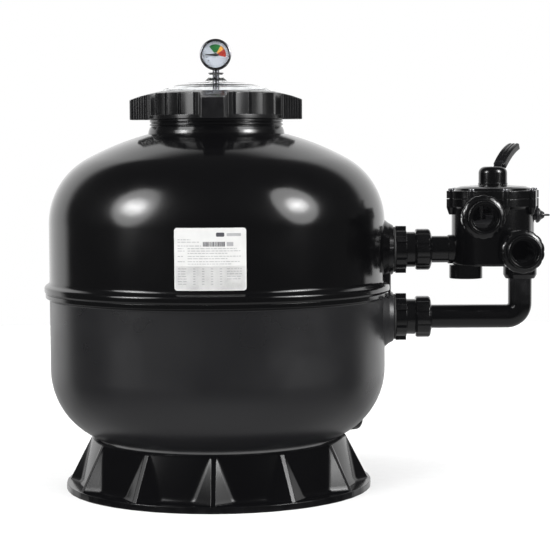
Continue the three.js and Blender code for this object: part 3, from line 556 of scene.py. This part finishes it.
def upper_shell():
    low = SEAM_Z + GAP
    inner = dished_end(UPPER_KNEE_Z, 1, WALL, NECK_BORE_R)[::-1]
    outer = dished_end(UPPER_KNEE_Z, 1, 0, NECK_R)
    grooves = [corner for z in (665.5, 672)
               for corner in ((123, z, 0.6), (119.5, z + 1.8, 0.7), (123, z + 3.6, 0.6))]
    threads = [corner for z in (680, 685, 690)
               for corner in ((118, z, 0.3), (119.6, z + 1.2, 0.4), (119.6, z + 2, 0.4), (118, z + 3.2, 0.3))]
    neck = [(NECK_R, outer[-1][1] + 1, 1.2), (NECK_R - 1, 660, 1.2), *grooves, (123, RING_LOW_Z - 1, 0.3),
            (118, RING_LOW_Z - 0.5, 0.3), *threads, (118, 696, 1.5), (114, NECK_TOP_Z, 1),
            (NECK_BORE_R, NECK_TOP_Z, 1)]
    lip = [(BAND_R, low, 0.5), (SEAM_R, SEAM_Z + 3.5, 3), (SEAM_R, SEAM_Z + 12.5, 5.5),
           (TANK_R, SEAM_Z + 19, 9)]
    wall = [(TANK_R, SEAM_Z + 28), (TANK_R, SEAM_Z + 34), (TANK_R, SEAM_Z + 60), (TANK_R, UPPER_KNEE_Z - 40)]
    profile = [(TANK_R - WALL, low), *lip, *wall, *outer, *neck, *inner]
    inside = [(0, low - 20), (TANK_R - WALL, low - 20), *dished_end(UPPER_KNEE_Z, 1, WALL, 1), (0, 661)]
    cavity = lathe(inside, sides=SHELL_SIDES)
    pad = cut(port_pad("upper", low), cavity)
    shell = joined(lathe(profile, sides=SHELL_SIDES), pad)
    shell = cut(shell, rod(26.5, 230, 340, 0, about_x(0, PORT_Z["upper"])))
    piece("upper_tank", shell, "upper_shell", also=("neck_collar",))


# ---------------------------------------------------------------- rating label
def on_tank(u, z, lift):
    """A point on the tank wall: u millimetres right of the label's middle, at height z."""
    return *polar(TANK_R + lift, u / TANK_R - math.pi / 2), z


def wall_patch(left, right, low, high, under=1.15, over=1.26, corner=0.0):
    """A thin plate curved with the tank wall, as columns from left to right."""
    bends = [corner * (1 - math.cos(math.pi / 2 * k / 6)) for k in range(6)] if corner else [0]
    middle = max(1, round((right - left - 2 * corner) / 4))
    insets = bends + [corner + (right - left - 2 * corner) * k / middle for k in range(middle + 1)]
    insets += [right - left - inset for inset in reversed(bends)]
    columns = []
    for inset in insets:
        short = max(0, corner - min(inset, right - left - inset))
        drop = corner - math.sqrt(corner ** 2 - short ** 2)
        u, bottom, top = left + inset, low + drop, high - drop
        columns.append([on_tank(u, bottom, under), on_tank(u, bottom, over), on_tank(u, top, over),
                        on_tank(u, top, under)])
    return skin(columns, caps=True)


def text_line(chooser, left, right, z, height):
    """Blocks that stand for the words of one line of small print."""
    blocks = []
    at = left
    while at < right:
        length = min(chooser.uniform(2.5, 8.5), right - at)
        if length > 1.2:
            blocks.append(wall_patch(at, at + length, z, z + height))
        at += length + 1.3
    return blocks


def small_print(left):
    """Rows of words, each (distance down, start, end), over a table of seven rows."""
    chooser = random.Random(4)
    rows = []
    words = ((19, 0, 22), (23, 0, 38), (29.5, 0, 40), (34, 0, 10), (34, 17, 100), (38, 0, 12),
             (38, 17, 106), (42, 17, 84), (47, 0, 9), (47, 17, 107), (51, 17, 84), (56, 0, 12),
             (56, 17, 107), (60, 17, 92))
    for down, start, end in words:
        rows += text_line(chooser, left + start, left + end, LABEL_HIGH_Z - down - 1.5, 1.2)
    for row in range(7):
        z = LABEL_HIGH_Z - 69.6 - 4.3 * row
        rows += text_line(chooser, left, left + 15, z, 1.2)
        for column in range(4):
            start = left + 26 + 15 * column
            rows.append(wall_patch(start, start + 4, z, z + 1.2))
        if row < 5:
            rows += text_line(chooser, left + 83, left + 108, z, 1.2)
    return rows


def rating_label():
    half = LABEL_WIDTH / 2
    paper = wall_patch(-half, half, LABEL_LOW_Z, LABEL_HIGH_Z, 0.4, 1.2, 5)
    piece("label", paper, "rating_label")
    left = 6 - half
    table_top = LABEL_LOW_Z + 0.39 * (LABEL_HIGH_Z - LABEL_LOW_Z)
    tint = wall_patch(2 - half, half - 2, LABEL_LOW_Z + 2, table_top, 1.12, 1.2, 3)
    piece("label_table", tint, "rating_label", INKS["pale grey"], shown_for=False)
    piece("label_small_print", merged(*small_print(left)), "rating_label", INKS["grey"], shown_for=False)

    chooser = random.Random(7)
    bars = []
    at = left + 43
    while at < left + 80:
        width = chooser.choice((0.7, 1.1, 1.8))
        bars.append(wall_patch(at, at + width, LABEL_HIGH_Z - 31.5, LABEL_HIGH_Z - 23.5))
        at += width + chooser.choice((0.5, 0.9))
    bars.append(wall_patch(left + 65, left + 79, LABEL_HIGH_Z - 15, LABEL_HIGH_Z - 8, corner=2))
    piece("label_bars", merged(*bars), "rating_label", INKS["dark grey"], shown_for=False)
    title = [wall_patch(left + 83, left + 107, LABEL_HIGH_Z - 14, LABEL_HIGH_Z - 9, corner=1),
             wall_patch(left + 83, left + 94, LABEL_HIGH_Z - 31, LABEL_HIGH_Z - 24)]
    piece("label_title", merged(*title), "rating_label", INKS["grey"], shown_for=False)


# ---------------------------------------------------------------- lid ring
def ring_outline():
    """The ring seen from above: four lugs with grooved flanks, and scallops between them."""
    half = 24
    corners = []
    for lug in range(4):
        turn = lug * math.pi / 2
        across, out = Vector(polar(1, turn + math.pi / 2)), Vector(polar(1, turn))

        def corner(reach, offset, rounding):
            spot = out * reach + across * offset
            return spot.x, spot.y, rounding

        root = math.sqrt(RING_R ** 2 - half ** 2)
        flank = [(root, half + 1, 3)]
        for groove in range(6):
            reach = 130 + 4.5 * groove
            wide = half + 1 - 4 * (reach - root) / (LUG_R - root)
            flank += [(reach - 1.4, wide, 0.4), (reach - 0.7, wide - 1.2, 0.3),
                      (reach + 0.7, wide - 1.2, 0.3), (reach + 1.4, wide, 0.4)]
        flank.append((LUG_R, half - 3, 4))
        corners += [corner(reach, -wide, rounding) for reach, wide, rounding in flank]
        corners += [corner(reach, wide, rounding) for reach, wide, rounding in reversed(flank)]
        pitch = math.radians(14.4)
        first = math.radians(16.2)
        for scallop in range(4):
            start = turn + first + pitch * scallop
            corners.append((*polar(RING_R, start - 0.012), 0.8))
            corners.append((*polar(RING_R - 3.2, start + 0.004), 0.6))
            for k in range(1, 9):
                share = k / 9
                dip = 1.6 * math.sin(math.pi * share)
                corners.append((*polar(RING_R - dip, start + 0.02 + (pitch - 0.03) * share), 0))
        end = turn + first + 4 * pitch
        corners.append((*polar(RING_R, end - 0.008), 0.8))
        corners.append((*polar(RING_R - 3.2, end), 0.6))
        corners.append((*polar(RING_R, end + 0.016), 0.8))
    return rounded(corners, True, 3)


def ring_top(radius):
    """Height of the ring's top, which slopes down over the lugs."""
    if radius > 140:
        return 723 - (radius - 140) * 10.5 / 30
    return RING_HIGH_Z - max(0, radius - 108) * 8 / 32


def lid_ring():
    path = ring_outline()
    edge = 1.4
    bends = [math.pi / 2 * k / 3 for k in range(4)]
    levels = [[(p, RING_LOW_Z + edge * (1 - math.sin(a))) for p in shrunk(path, edge * (1 - math.cos(a)))]
              for a in reversed(bends)]
    for a in bends:
        inset = edge * (1 - math.cos(a))
        levels.append([(p, ring_top(p.length) - edge * (1 - math.sin(a))) for p in shrunk(path, inset)])
    rim = shrunk(path, edge)
    for share in (0.2, 0.4, 0.6, 0.8, 0.97):
        spots = [p * ((p.length + (108 - p.length) * share) / p.length) for p in rim]
        levels.append([(p, ring_top(p.length)) for p in spots])
    for radius, z in ((107, RING_HIGH_Z - 0.3), (106.5, RING_HIGH_Z - 1.2), (106.5, 719.3), (120.5, 719.3),
                      (120.5, RING_LOW_Z + 2), (122, RING_LOW_Z)):
        levels.append([(p.normalized() * radius, z) for p in path])
    body = skin([[(p.x, p.y, z) for p, z in level] for level in levels], wrap=True)
    band = lathe([(121.5, RING_LOW_Z + 0.2, 0.3), (RING_R + 0.3, RING_LOW_Z + 0.2, 1),
                  (RING_R + 0.3, RING_LOW_Z + 8, 1), (121.5, RING_LOW_Z + 8, 0.3)], sides=200)
    piece("ring", merged(body, band), "lid_ring", sharp=32)


# ---------------------------------------------------------------- clear lid and gauge
def clear_lid():
    profile = [(99, 712, 1), (116, 712, 1), (116, 719, 1), (105, 719, 1), (105, 727, 3), (102, 732, 3),
               (94, 737, 6), (78, 742.5, 8), (58, 746.5, 10), (34, 748.5, 6), (21, 751, 4), (14.5, 756.5, 2),
               (14.5, 762, 1), (6.4, 762, 0.4), (6.4, 744.5, 0.4), (34, 743.5, 6), (58, 741.5, 10),
               (78, 737.5, 8), (92, 731, 6), (99, 722, 4)]
    piece("lid_dome", lathe(profile, sides=128), "clear_lid", sharp=60)
    gasket = [(102, 708.3, 0.8), (113, 708.3, 0.8), (113, 711.7, 0.8), (102, 711.7, 0.8)]
    piece("lid_seal", lathe(gasket, sides=128), "lid_gasket")


def sector(start, end, inner, outer, front, back):
    """A flat sector of the dial; angles are degrees clockwise from the top, seen from the front."""
    edge = [(r * math.sin(math.radians(a)), GAUGE_Z + r * math.cos(math.radians(a)))
            for r, angles in ((outer, (start, end)), (inner, (end, start)))
            for a in [angles[0] + (angles[1] - angles[0]) * k / 10 for k in range(11)]]
    return skin([[(x, -y, z) for x, z in edge] for y in (back, front)], caps=True)


def gauge():
    face = about_front(0, GAUGE_Z)
    cup_r = GAUGE_R - 1.1
    case = lathe([(0, -12), (cup_r - 2.4, -12, 2), (cup_r, -9.5, 1.5), (cup_r, 11.6, 0.3),
                  (cup_r - 2, 11.6, 0.3), (cup_r - 2, -9.5, 1), (0, -9.5)], face, 96)
    piece("gauge_cup", cut(case, rod(7.2, 755, GAUGE_Z - 20, 0, sides=32)), "gauge_case")
    bezel = [(cup_r - 4, 14.2, 0.3), (cup_r + 0.3, 14.2, 0.3), (cup_r + 0.3, 6.4, 0.3), (GAUGE_R, 6.4, 0.6),
             (GAUGE_R, 15, 1.6), (cup_r - 1, 16.4, 1), (cup_r - 3.4, 16.2, 0.8)]
    piece("gauge_rim", lathe(bezel, face, 96), "gauge_bezel")
    window = [(0, 11.9), (cup_r - 0.4, 11.9, 0.3), (cup_r - 0.4, 13.9, 0.3), (0, 13.9)]
    piece("gauge_glass", lathe(window, face, 96), "gauge_window")
    dial = [(1.8, 6.8, 0.2), (cup_r - 2.8, 6.8, 0.2), (cup_r - 2.8, 7.8, 0.2), (1.8, 7.8, 0.2)]
    piece("dial_plate", lathe(dial, face, 96), "gauge_dial")

    for name, ink, start, end in (("dial_green", "green", -38, 30), ("dial_amber", "amber", 31, 56),
                                  ("dial_red", "red", 57, 104)):
        piece(name, sector(start, end, 4, 19, 8.02, 7.7), "gauge_dial", INKS[ink], shown_for=False)
    marks = []
    for k in range(28):
        turn = -135 + 10 * k
        length = 3.4 if k % 3 == 0 else 1.8
        marks.append(sector(turn - 0.8, turn + 0.8, 23.3 - length, 23.3, 8.0, 7.7))
    for turn in (-128, -105, -88):
        marks.append(sector(turn - 3, turn + 3, 15.5, 18, 8.0, 7.7))
    piece("dial_marks", merged(*marks), "gauge_dial", INKS["dark grey"], shown_for=False)

    blade = [(6, -1.5, 0.8), (6, 1.5, 0.8), (2, 2.4, 1), (-2, 2.4, 1), (-19, 0.45, 0.3), (-19, -0.45, 0.3),
             (-2, -2.4, 1), (2, -2.4, 1)]
    boss = lathe([(0, 3), (1.2, 3), (1.2, 8.9), (3, 8.9, 0.3), (3, 10.6, 0.8), (0, 10.6)], face, 32)
    piece("gauge_hand", joined(prism(blade, 8.7, 9.5, 0.15, face), boss), "gauge_needle")

    hexagon = [(*polar(14, FULL_TURN * i / 6), 0.8) for i in range(6)]
    stem = joined(lathe([(0, 733), (6.1, 733, 1), (6.1, GAUGE_Z - 19.5, 0.5), (0, GAUGE_Z - 19.5)], sides=40),
                  prism(hexagon, 764.1, 766.2, 0.5))
    stem = cut(stem, rod(2, 730, 760, 0, sides=24))
    piece("gauge_shank", stem, "gauge_stem", LOOKS["gauge_metal"])


# ---------------------------------------------------------------- tank ports
def tank_port(level, tail_r):
    place = about_x(0, PORT_Z[level])
    fitting = [(19, 262, 0.5), (24, 262, 0.5), (26, 265, 0.5), (26, 350.3), (32.6, 350.3, 0.8),
               (32.6, 366, 1.2), (30, 366.2, 0.3), (30, 383, 0.5), (19, 383, 0.5)]
    piece(f"{level}_fitting", lathe(fitting, place), f"{level}_bulkhead")
    gasket = [(26.6, 326.3, 0.3), (42, 326.3, 1), (42, 329.7, 1), (26.6, 329.7, 0.3)]
    piece(f"{level}_flange_seal", lathe(gasket, place), f"{level}_wall_gasket")

    lugs = [prism([(30, -6.4), (43.5, -5.2, 1.2), (43.5, 5.2, 1.2), (30, 6.4)], 330.1, 349.9, 1,
                  place @ Matrix.Rotation(FULL_TURN * i / 6, 4, "Z")) for i in range(6)]
    nut = joined(rod(37.5, 330, 350, 1.2, place), *lugs)
    piece(f"{level}_ring_nut", cut(nut, rod(26.6, 325, 355, 0, place)), f"{level}_lock_nut")

    outer = [(35.6, 367, 0), (36.7, 367.5, 0.3), (38.1, 369, 1), (38.5, 370, 1), (38.5, 390.5, 1),
             (38.1, 391.6, 1), (36, 394, 0.4), (tail_r + 3, 396.8, 0), (tail_r + 1.4, 397, 0)]
    bore = [(tail_r + 0.7, 396.5), (tail_r + 0.6, 390.3), (30.6, 390.3), (30.6, 367.6), (31.4, 367)]
    piece(f"{level}_collar_nut", fluted(outer, bore, 10, 1.5, place, power=0.6), f"{level}_union_nut")


def connecting_pipes():
    flange = [(PIPE_BORE_R, 385.8, 0.4), (29, 385.8, 0.5), (29, 390, 0.5), (24.8, 390),
              (24.8, STUB_END_X, 0.5), (PIPE_BORE_R, STUB_END_X, 0.5)]
    piece("stub", lathe(flange, about_x(0, PORT_Z["upper"])), "upper_stub_pipe")

    z = PORT_Z["lower"]
    bend = 24.5
    pipe = bent_tube(388, (ELBOW_X - bend, z + bend), bend, 402, PIPE_R, PIPE_BORE_R)
    bore_r = PIPE_BORE_R - 0.01
    collar = [(bore_r, 385.8, 0.4), (29, 385.8, 0.5), (29, 390, 0.5), (bore_r, 390, 0.4)]
    piece("elbow_pipe", joined(pipe, lathe(collar, about_x(0, z))), "lower_elbow_pipe")


# ---------------------------------------------------------------- selector valve
def screw_spots():
    turns = [FIRST_SCREW_AZIMUTH + FULL_TURN * i / COVER_SCREWS for i in range(COVER_SCREWS)]
    return [(VALVE_X + x, y) for x, y in (polar(SCREW_CIRCLE_R, a) for a in turns)]


def front_barrel(x, z):
    profile = [(0, 0), (26.8, 0), (26.8, 90, 1), (31.6, 92.5, 1), (31.6, FRONT_SEAT, 0.8), (0, FRONT_SEAT)]
    return lathe(profile, about_front(x, z))


def valve_body():
    shell = lathe([(0, VALVE_LOW_Z), (VALVE_R, VALVE_LOW_Z, 5), (VALVE_R, VALVE_HIGH_Z - 18, 2),
                   (COVER_R, VALVE_HIGH_Z - 14, 1.5), (COVER_R, VALVE_HIGH_Z, 0.8), (0, VALVE_HIGH_Z)],
                  about_z(VALVE_X), 128)
    tank_barrel = rod(26.8, 427, VALVE_X, 1.5, about_x(0, PORT_Z["upper"]))
    elbow_barrel = lathe([(0, 383.5), (27, 383.5, 1), (31, 391, 1.5), (31, 445), (0, 445)], about_z(ELBOW_X))
    plug_boss = rod(10, 560, 590, 0.8, about_x(0, PLUG_Z), 40)
    lug = [(0, VALVE_HIGH_Z - 29), (4, VALVE_HIGH_Z - 29, 2), (8.6, VALVE_HIGH_Z - 16, 3),
           (8.6, VALVE_HIGH_Z, 0.6), (0, VALVE_HIGH_Z)]
    lugs = [lathe(lug, about_z(x, y), 32) for x, y in screw_spots()]
    barrels = [front_barrel(*spot) for spot in FRONT_PORTS.values()]
    body = joined(shell, tank_barrel, elbow_barrel, plug_boss, *barrels, *lugs)

    chamber = VALVE_R - 8
    tools = [
        rod(chamber, 475, VALVE_HIGH_Z + 5, 0, about_z(VALVE_X), 96),
        rod(chamber, VALVE_LOW_Z + 7, 470, 0, about_z(VALVE_X), 96),
        rod(25.1, 420, STUB_END_X + GAP, 0, about_x(0, PORT_Z["upper"])),
        rod(PIPE_BORE_R, STUB_END_X, 470, 0, about_x(0, PORT_Z["upper"]), 40),
        rod(23.8, 400, 430, 0, about_z(WASTE_X)),
        lathe([(0, 370), (PIPE_R + GAP, 370), (PIPE_R + GAP, 402.4), (PIPE_BORE_R, 402.4), (PIPE_BORE_R, 430),
               (0, 430)], about_z(ELBOW_X)),
        rod(5.4, 550, 600, 0, about_x(0, PLUG_Z), 24),
    ]
    tools += [rod(21, 30, 110, 0, about_front(*spot)) for spot in FRONT_PORTS.values()]
    tools += [rod(13, 465, 480, 0, about_z(VALVE_X + 40 * math.cos(a), 40 * math.sin(a)), 32)
              for a in (math.pi / 6 + math.pi / 3 * i for i in range(6))]
    tools += [rod(3.2, VALVE_HIGH_Z - 23, VALVE_HIGH_Z + 7, 0, about_z(x, y), 20) for x, y in screw_spots()]
    piece("valve_housing", cut(body, *tools), "valve_body")


def valve_cover():
    low = VALVE_HIGH_Z + 1
    ceiling = COVER_TOP_Z - 12
    cover = lathe([(9.4, ceiling, 0.4), (20, ceiling, 2), (24, ceiling + 4, 4), (60, ceiling, 4),
                   (64, ceiling - 4, 1), (64, low, 0.5), (COVER_R, low, 0.8), (COVER_R, FLANGE_TOP_Z, 1.2),
                   (71.5, FLANGE_TOP_Z, 1), (69, COVER_TOP_Z - 5.5, 2.5), (60, COVER_TOP_Z - 2.5, 8),
                   (30, COVER_TOP_Z - 0.2, 3), (9.4, COVER_TOP_Z, 0.4)], about_z(VALVE_X), 128)
    inside = rod(70, 500, 570, 0, about_z(VALVE_X), 96)
    lugs = [cut(rod(8.6, low, FLANGE_TOP_Z, 0.9, about_z(x, y), 32), inside.copy()) for x, y in screw_spots()]
    holes = [rod(3.2, 520, 560, 0, about_z(x, y), 20) for x, y in screw_spots()]
    piece("valve_lid", cut(joined(cover, *lugs), *holes), "valve_cover")


def cover_screws():
    tip, seat = VALVE_HIGH_Z - 12, FLANGE_TOP_Z + GAP
    for i, (x, y) in enumerate(screw_spots(), 1):
        head = lathe([(0, tip), (2.6, tip, 0.5), (2.6, seat), (5.4, seat, 0.3), (5.4, seat + 3.9, 1.4),
                      (0, seat + 3.9)], about_z(x, y), 32)
        socket = prism([(*polar(2.6, FULL_TURN * k / 6), 0) for k in range(6)], seat + 1.8, seat + 6, 0,
                       about_z(x, y))
        piece(f"cover_bolt_{i}", cut(head, socket), f"cover_screw_{i}", LOOKS["gauge_metal"])


def in_lever_plane():
    """From (reach, height, across) to the valve's hub, turned to the lever's azimuth."""
    stand = Matrix.Rotation(math.pi / 2, 4, "X")
    return Matrix.Translation((VALVE_X, 0, 0)) @ Matrix.Rotation(LEVER_AZIMUTH, 4, "Z") @ stand


def pin_rod(radius, half, edge=0):
    place = in_lever_plane() @ Matrix.Translation((PIN_REACH, PIN_Z, 0))
    return rod(radius, -half, half, edge, place, 32)


def selector_hub():
    low, slot_floor = COVER_TOP_Z + GAP, COVER_TOP_Z + 13
    dome = lathe([(0, low), (HUB_R, low, 0.8), (HUB_R, low + 3, 0.5), (HUB_R - 0.8, low + 4, 0.5)]
                 + arc(HUB_R - 12.8, HUB_TOP_Z - 12, 12, 0, 90, 12) + [(0, HUB_TOP_Z)], about_z(VALVE_X), 96)
    opening = [(-4, slot_floor, 1), (40, slot_floor), (40, 610), (-4, 610)]
    slot = prism(opening, -8.5, 8.5, 0, in_lever_plane())
    lines = []
    for turn in (math.radians(-112), math.radians(-86)):
        x, y = polar(HUB_R - 0.7, turn)
        lines.append(rod(0.7, low + 5, HUB_TOP_Z - 9, 0, about_z(VALVE_X + x, y), 12))
    stem_socket = rod(10, 540, slot_floor + 1, 0, about_z(VALVE_X), 48)
    piece("selector_dome", cut(dome, slot, stem_socket, pin_rod(2.8, 21), *lines), "selector_hub")
    piece("hinge_pin", pin_rod(2.4, 20, 0.4), "lever_pin")


def selector_spring():
    """The spring that holds the rotor down; in the valve the lever's lift shortens it against the cover, and
    here it is built as a fixed coil.
    """
    wire, coil_r, turns, steps = 1.5, 16, 4, 160
    low, high = SPRING_LOW_Z + wire, SPRING_HIGH_Z - wire
    rings = []
    for k in range(steps + 1):
        turn = FULL_TURN * turns * k / steps
        middle = low + (high - low) * k / steps
        rings.append([(*polar(coil_r + u, turn), middle + v) for u, v in circle(wire, 12)])
    coil = skin(rings, caps=True)
    coil.transform(about_z(VALVE_X))
    made = piece("selector_coil", coil, "selector_spring")
    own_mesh(made)


def bezier(points, t):
    a, b, c = (Vector(p) for p in points)
    return a * (1 - t) ** 2 + b * 2 * t * (1 - t) + c * t * t


def selector_lever():
    upper = ((24, 595), (54, 625), (91, 634))
    lower = ((33.5, 585), (64, 612), (96, 621.5))
    half = 11.5
    rib_half = 1.9
    section = [(-half, 0.08, 1.6), (half, 0.08, 1.6), (half, 0.94, 1.2)]
    for at in (7.2, 0, -7.2):
        section += [(at + rib_half, 0.94, 0.3), (at + rib_half - 0.4, 1.0, 0.4),
                    (at - rib_half + 0.4, 1.0, 0.4), (at - rib_half, 0.94, 0.3)]
    section.append((-half, 0.94, 1.2))
    scale = 13.0
    flat = rounded([(x, h * scale, r) for x, h, r in section], True, 3)
    middle = Vector((0, scale / 2))
    rings = []
    stations = [(0, 0.86), (0.012, 0.96), (0.03, 1)] + [(k / 16, 1) for k in range(1, 16)]
    stations += [(0.975, 1), (0.99, 0.96), (1, 0.86)]
    for t, share in stations:
        top, bottom = bezier(upper, t), bezier(lower, t)
        ring = []
        for p in flat:
            q = middle + (p - middle) * share
            spot = bottom.lerp(top, q.y / scale)
            ring.append((spot.x, spot.y, q.x))
        rings.append(ring)
    grip = skin(rings, caps=True)
    grip.transform(in_lever_plane())
    outline = [(38, 591, 2), (30, 601, 2), (22, 594.5, 2), (14, 586.5, 2)]
    outline += arc(PIN_REACH, PIN_Z, 7, 90, 270, 10) + [(16, PIN_Z - 7, 2), (30, 581, 2)]
    root = prism(outline, -7.8, 7.8, 0.8, in_lever_plane())
    grip = cut(grip, rod(HUB_R + 1, 540, HUB_TOP_Z + 1, 0, about_z(VALVE_X), 64))
    lever = cut(joined(grip, root), pin_rod(2.8, 21))
    piece("valve_handle", lever, "selector_lever", sharp=30)


def front_union(name, x, z):
    place = about_front(x, z) @ Matrix.Translation((0, 0, FRONT_SEAT))
    outer = [(35.8, -15, 0), (37.4, -14.6, 0.4), (38.9, -13.4, 1), (39.5, -12.4, 1), (39.5, 8, 1),
             (39.1, 9.4, 1), (37.6, 11.2, 0.5), (35, 12.6, 0.2), (32.4, 14, 0), (31.4, 14, 0)]
    bore = [(30.7, 13.4), (30.7, 6), (32.4, 6), (32.4, -14.3), (33.2, -15)]
    piece(f"{name}_collar_nut", fluted(outer, bore, 14, 1.5, place, power=0.55), f"{name}_union_nut")
    tail = [(20, 2.3, 0.4), (31.4, 2.3, 0.5), (31.4, 5.5, 0.5), (29.8, 5.5, 0.2), (29.8, 38, 1.3),
            (25.1, 38, 0.9), (25.1, 12, 0.5), (20, 12, 0.5)]
    piece(f"{name}_socket", lathe(tail, place, 96), f"{name}_tailpiece")


def waste_adapter():
    shoulder, tip = VALVE_LOW_Z - GAP, VALVE_LOW_Z + 7
    profile = [(24.2, WASTE_FACE_Z, 0.9), (WASTE_R, WASTE_FACE_Z, 1.2), (WASTE_R, shoulder, 0.4),
               (23, shoulder), (23, tip, 0.5), (20, tip, 0.5), (20, 401), (24.2, 401, 0.5)]
    piece("waste_socket", lathe(profile, about_z(WASTE_X)), "waste_adapter")


def bleed_plug():
    place = about_x(0, PLUG_Z)
    stalk = lathe([(0, 576), (4.9, 576, 0.4), (4.9, 590.4), (13.5, 590.4, 0.8), (13.5, 596, 1.6),
                   (8.5, 600, 2), (5, 606, 1.2), (0, 606)], place, 48)
    grips = [prism([(11, -1.1), (14.2, -0.7, 0.3), (14.2, 0.7, 0.3), (11, 1.1)], 591.2, 595.2, 0.3,
                   place @ Matrix.Rotation(FULL_TURN * i / 12, 4, "Z")) for i in range(12)]
    tab = prism([(-1.8, -6, 1.2), (1.8, -6, 1.2), (1.8, 6, 1.2), (-1.8, 6, 1.2)], 598, 615.5, 1, place)
    piece("bleed_screw", joined(stalk, tab, *grips), "bleed_plug")


def drain():
    place = drain_place()
    profile = [(0, 279.5), (24.4, 279.5, 0.6), (25, 281, 0.6), *arc(18, 291, 7, 0, 90, 8), (0, 298)]
    dome = lathe(profile, place)
    grips = [prism([(22, -1.4), (25.6, -0.9, 0.4), (25.6, 0.9, 0.4), (22, 1.4)], 280.5, 290, 0.4,
                   place @ Matrix.Rotation(FULL_TURN * i / 16, 4, "Z")) for i in range(16)]
    cap = cut(joined(dome, *grips), rod(12.5, 270, 291.3, 0, place, 48))
    piece("drain_knob", cap, "drain_cap")


# ---------------------------------------------------------------- stage
def studio_room():
    """A pale backdrop that leans forward, dark walls, a grey floor glow, and white for the camera."""
    world = bpy.data.worlds.new("studio")
    world.use_nodes = True
    tree = world.node_tree
    tree.nodes.clear()
    direction = add_node(tree, "ShaderNodeTexCoord").outputs["Generated"]
    parts = add_node(tree, "ShaderNodeSeparateXYZ", {"Vector": direction}).outputs
    facing = add_node(tree, "ShaderNodeVectorMath", {0: direction, 1: (0, 1, -0.2)},
                      operation="DOT_PRODUCT").outputs["Value"]
    backdrop = between(tree, facing, 0.06, 1.15, 0.44, 0.56)
    above = between(tree, parts["Z"], 1.0, 0.8, 0.4, 0.8)
    below = between(tree, parts["Z"], 0.1, 1.0, -0.45, -0.1)
    level = add_node(tree, "ShaderNodeMath", {0: above, 1: below}, operation="MULTIPLY").outputs[0]
    floor_glow = between(tree, parts["Z"], 0.45, 0.0, -0.6, -0.25)
    strength = add_node(tree, "ShaderNodeMath", {0: backdrop, 1: level, 2: floor_glow},
                        operation="MULTIPLY_ADD").outputs[0]
    room = add_node(tree, "ShaderNodeBackground", {"Color": (1, 1, 1, 1), "Strength": strength})
    white = add_node(tree, "ShaderNodeBackground", {"Color": (1, 1, 1, 1), "Strength": 1.0})
    seen = add_node(tree, "ShaderNodeLightPath").outputs["Is Camera Ray"]
    mix = add_node(tree, "ShaderNodeMixShader", {0: seen, 1: room.outputs[0], 2: white.outputs[0]})
    add_node(tree, "ShaderNodeOutputWorld", {"Surface": mix.outputs[0]})
    return world


def soft_box(name, spot, aim, width, height, power):
    """A round-cornered lamp that only shows as a highlight."""
    lamp = bpy.data.lights.new(name, "AREA")
    lamp.shape = "ELLIPSE"
    lamp.size = width
    lamp.size_y = height
    lamp.energy = power
    holder = bpy.data.objects.new(name, lamp)
    holder.location = spot
    holder.rotation_euler = (Vector(aim) - Vector(spot)).to_track_quat("-Z", "Y").to_euler()
    holder.visible_diffuse = False
    bpy.context.scene.collection.objects.link(holder)


def even_light(name, tilt, strength, turn=0, casts_shadow=False):
    """Broad light that leaves no highlight, tilted from straight above towards the front, then turned."""
    lamp = bpy.data.lights.new(name, "SUN")
    lamp.energy = strength
    lamp.angle = math.radians(60)
    lamp.use_shadow = casts_shadow
    holder = bpy.data.objects.new(name, lamp)
    holder.rotation_euler = (math.radians(tilt), 0, math.radians(turn))
    holder.visible_glossy = False
    bpy.context.scene.collection.objects.link(holder)


def stage():
    """A plain pale floor, two soft boxes with bright middles in front, and even light from all round."""
    floor = as_object(rod(3200, -30, 0, 0, sides=96))
    floor.name = "floor"
    floor.data.transform(Matrix.Scale(0.001, 4))
    paint = surface("pale floor", (0.86, 0.86, 0.86), (0.88, 0.88, 0.88), (0.6, 0.7), 0.02, 60.0, shine=0.0)
    floor.data.materials.append(paint)
    floor.visible_glossy = False
    floor.visible_diffuse = False

    scene = bpy.context.scene
    scene.world = studio_room()
    scene.view_settings.view_transform = "Standard"
    left, right = (-1.87, -1.21, 1.42), (1.64, -1.15, 1.49)
    left_aim, right_aim = (-0.27, -0.28, 0.525), (0.0, -0.27, 0.525)
    for side, spot, aim, core in (("left", left, left_aim, 62), ("right", right, right_aim, 76)):
        soft_box(f"{side}_glow", spot, aim, 1.2, 2.0, 26)
        soft_box(f"{side}_middle", spot, aim, 0.7, 1.2, 20)
        soft_box(f"{side}_core", spot, aim, 0.32, 0.55, core)
    even_light("overhead", 8, 0.6, casts_shadow=True)
    even_light("left_fill", 50, 2.95, -60)
    even_light("right_fill", 50, 2.95, 60)
    even_light("floor_bounce", 150, 2.0)

    lens = bpy.data.cameras.new("camera")
    lens.lens = 116.5
    lens.sensor_width = 36
    camera = bpy.data.objects.new("camera", lens)
    camera.location = (-0.018, -3.3, 0.62)
    camera.rotation_euler = tuple(math.radians(turn) for turn in (90 - 3.96, 0.34, 0.38))
    scene.collection.objects.link(camera)
    scene.camera = camera


def finish_cad_nodes():
    """Gives every CAD node that stays in view, inside the tank and the valve, its slot's material."""
    for name, node in frame["nodes"].items():
        node.data.materials.clear()
        node.data.materials.append(LOOKS[SLOT_OF[name]])


stage()
finish_cad_nodes()
base_stand()
lower_shell()
upper_shell()
rating_label()
lid_ring()
clear_lid()
gauge()
tank_port("upper", 25)
tank_port("lower", PIPE_R)
connecting_pipes()
valve_body()
valve_cover()
cover_screws()
selector_hub()
selector_spring()
selector_lever()
for port, spot in FRONT_PORTS.items():
    front_union(port, *spot)
waste_adapter()
bleed_plug()
drain()
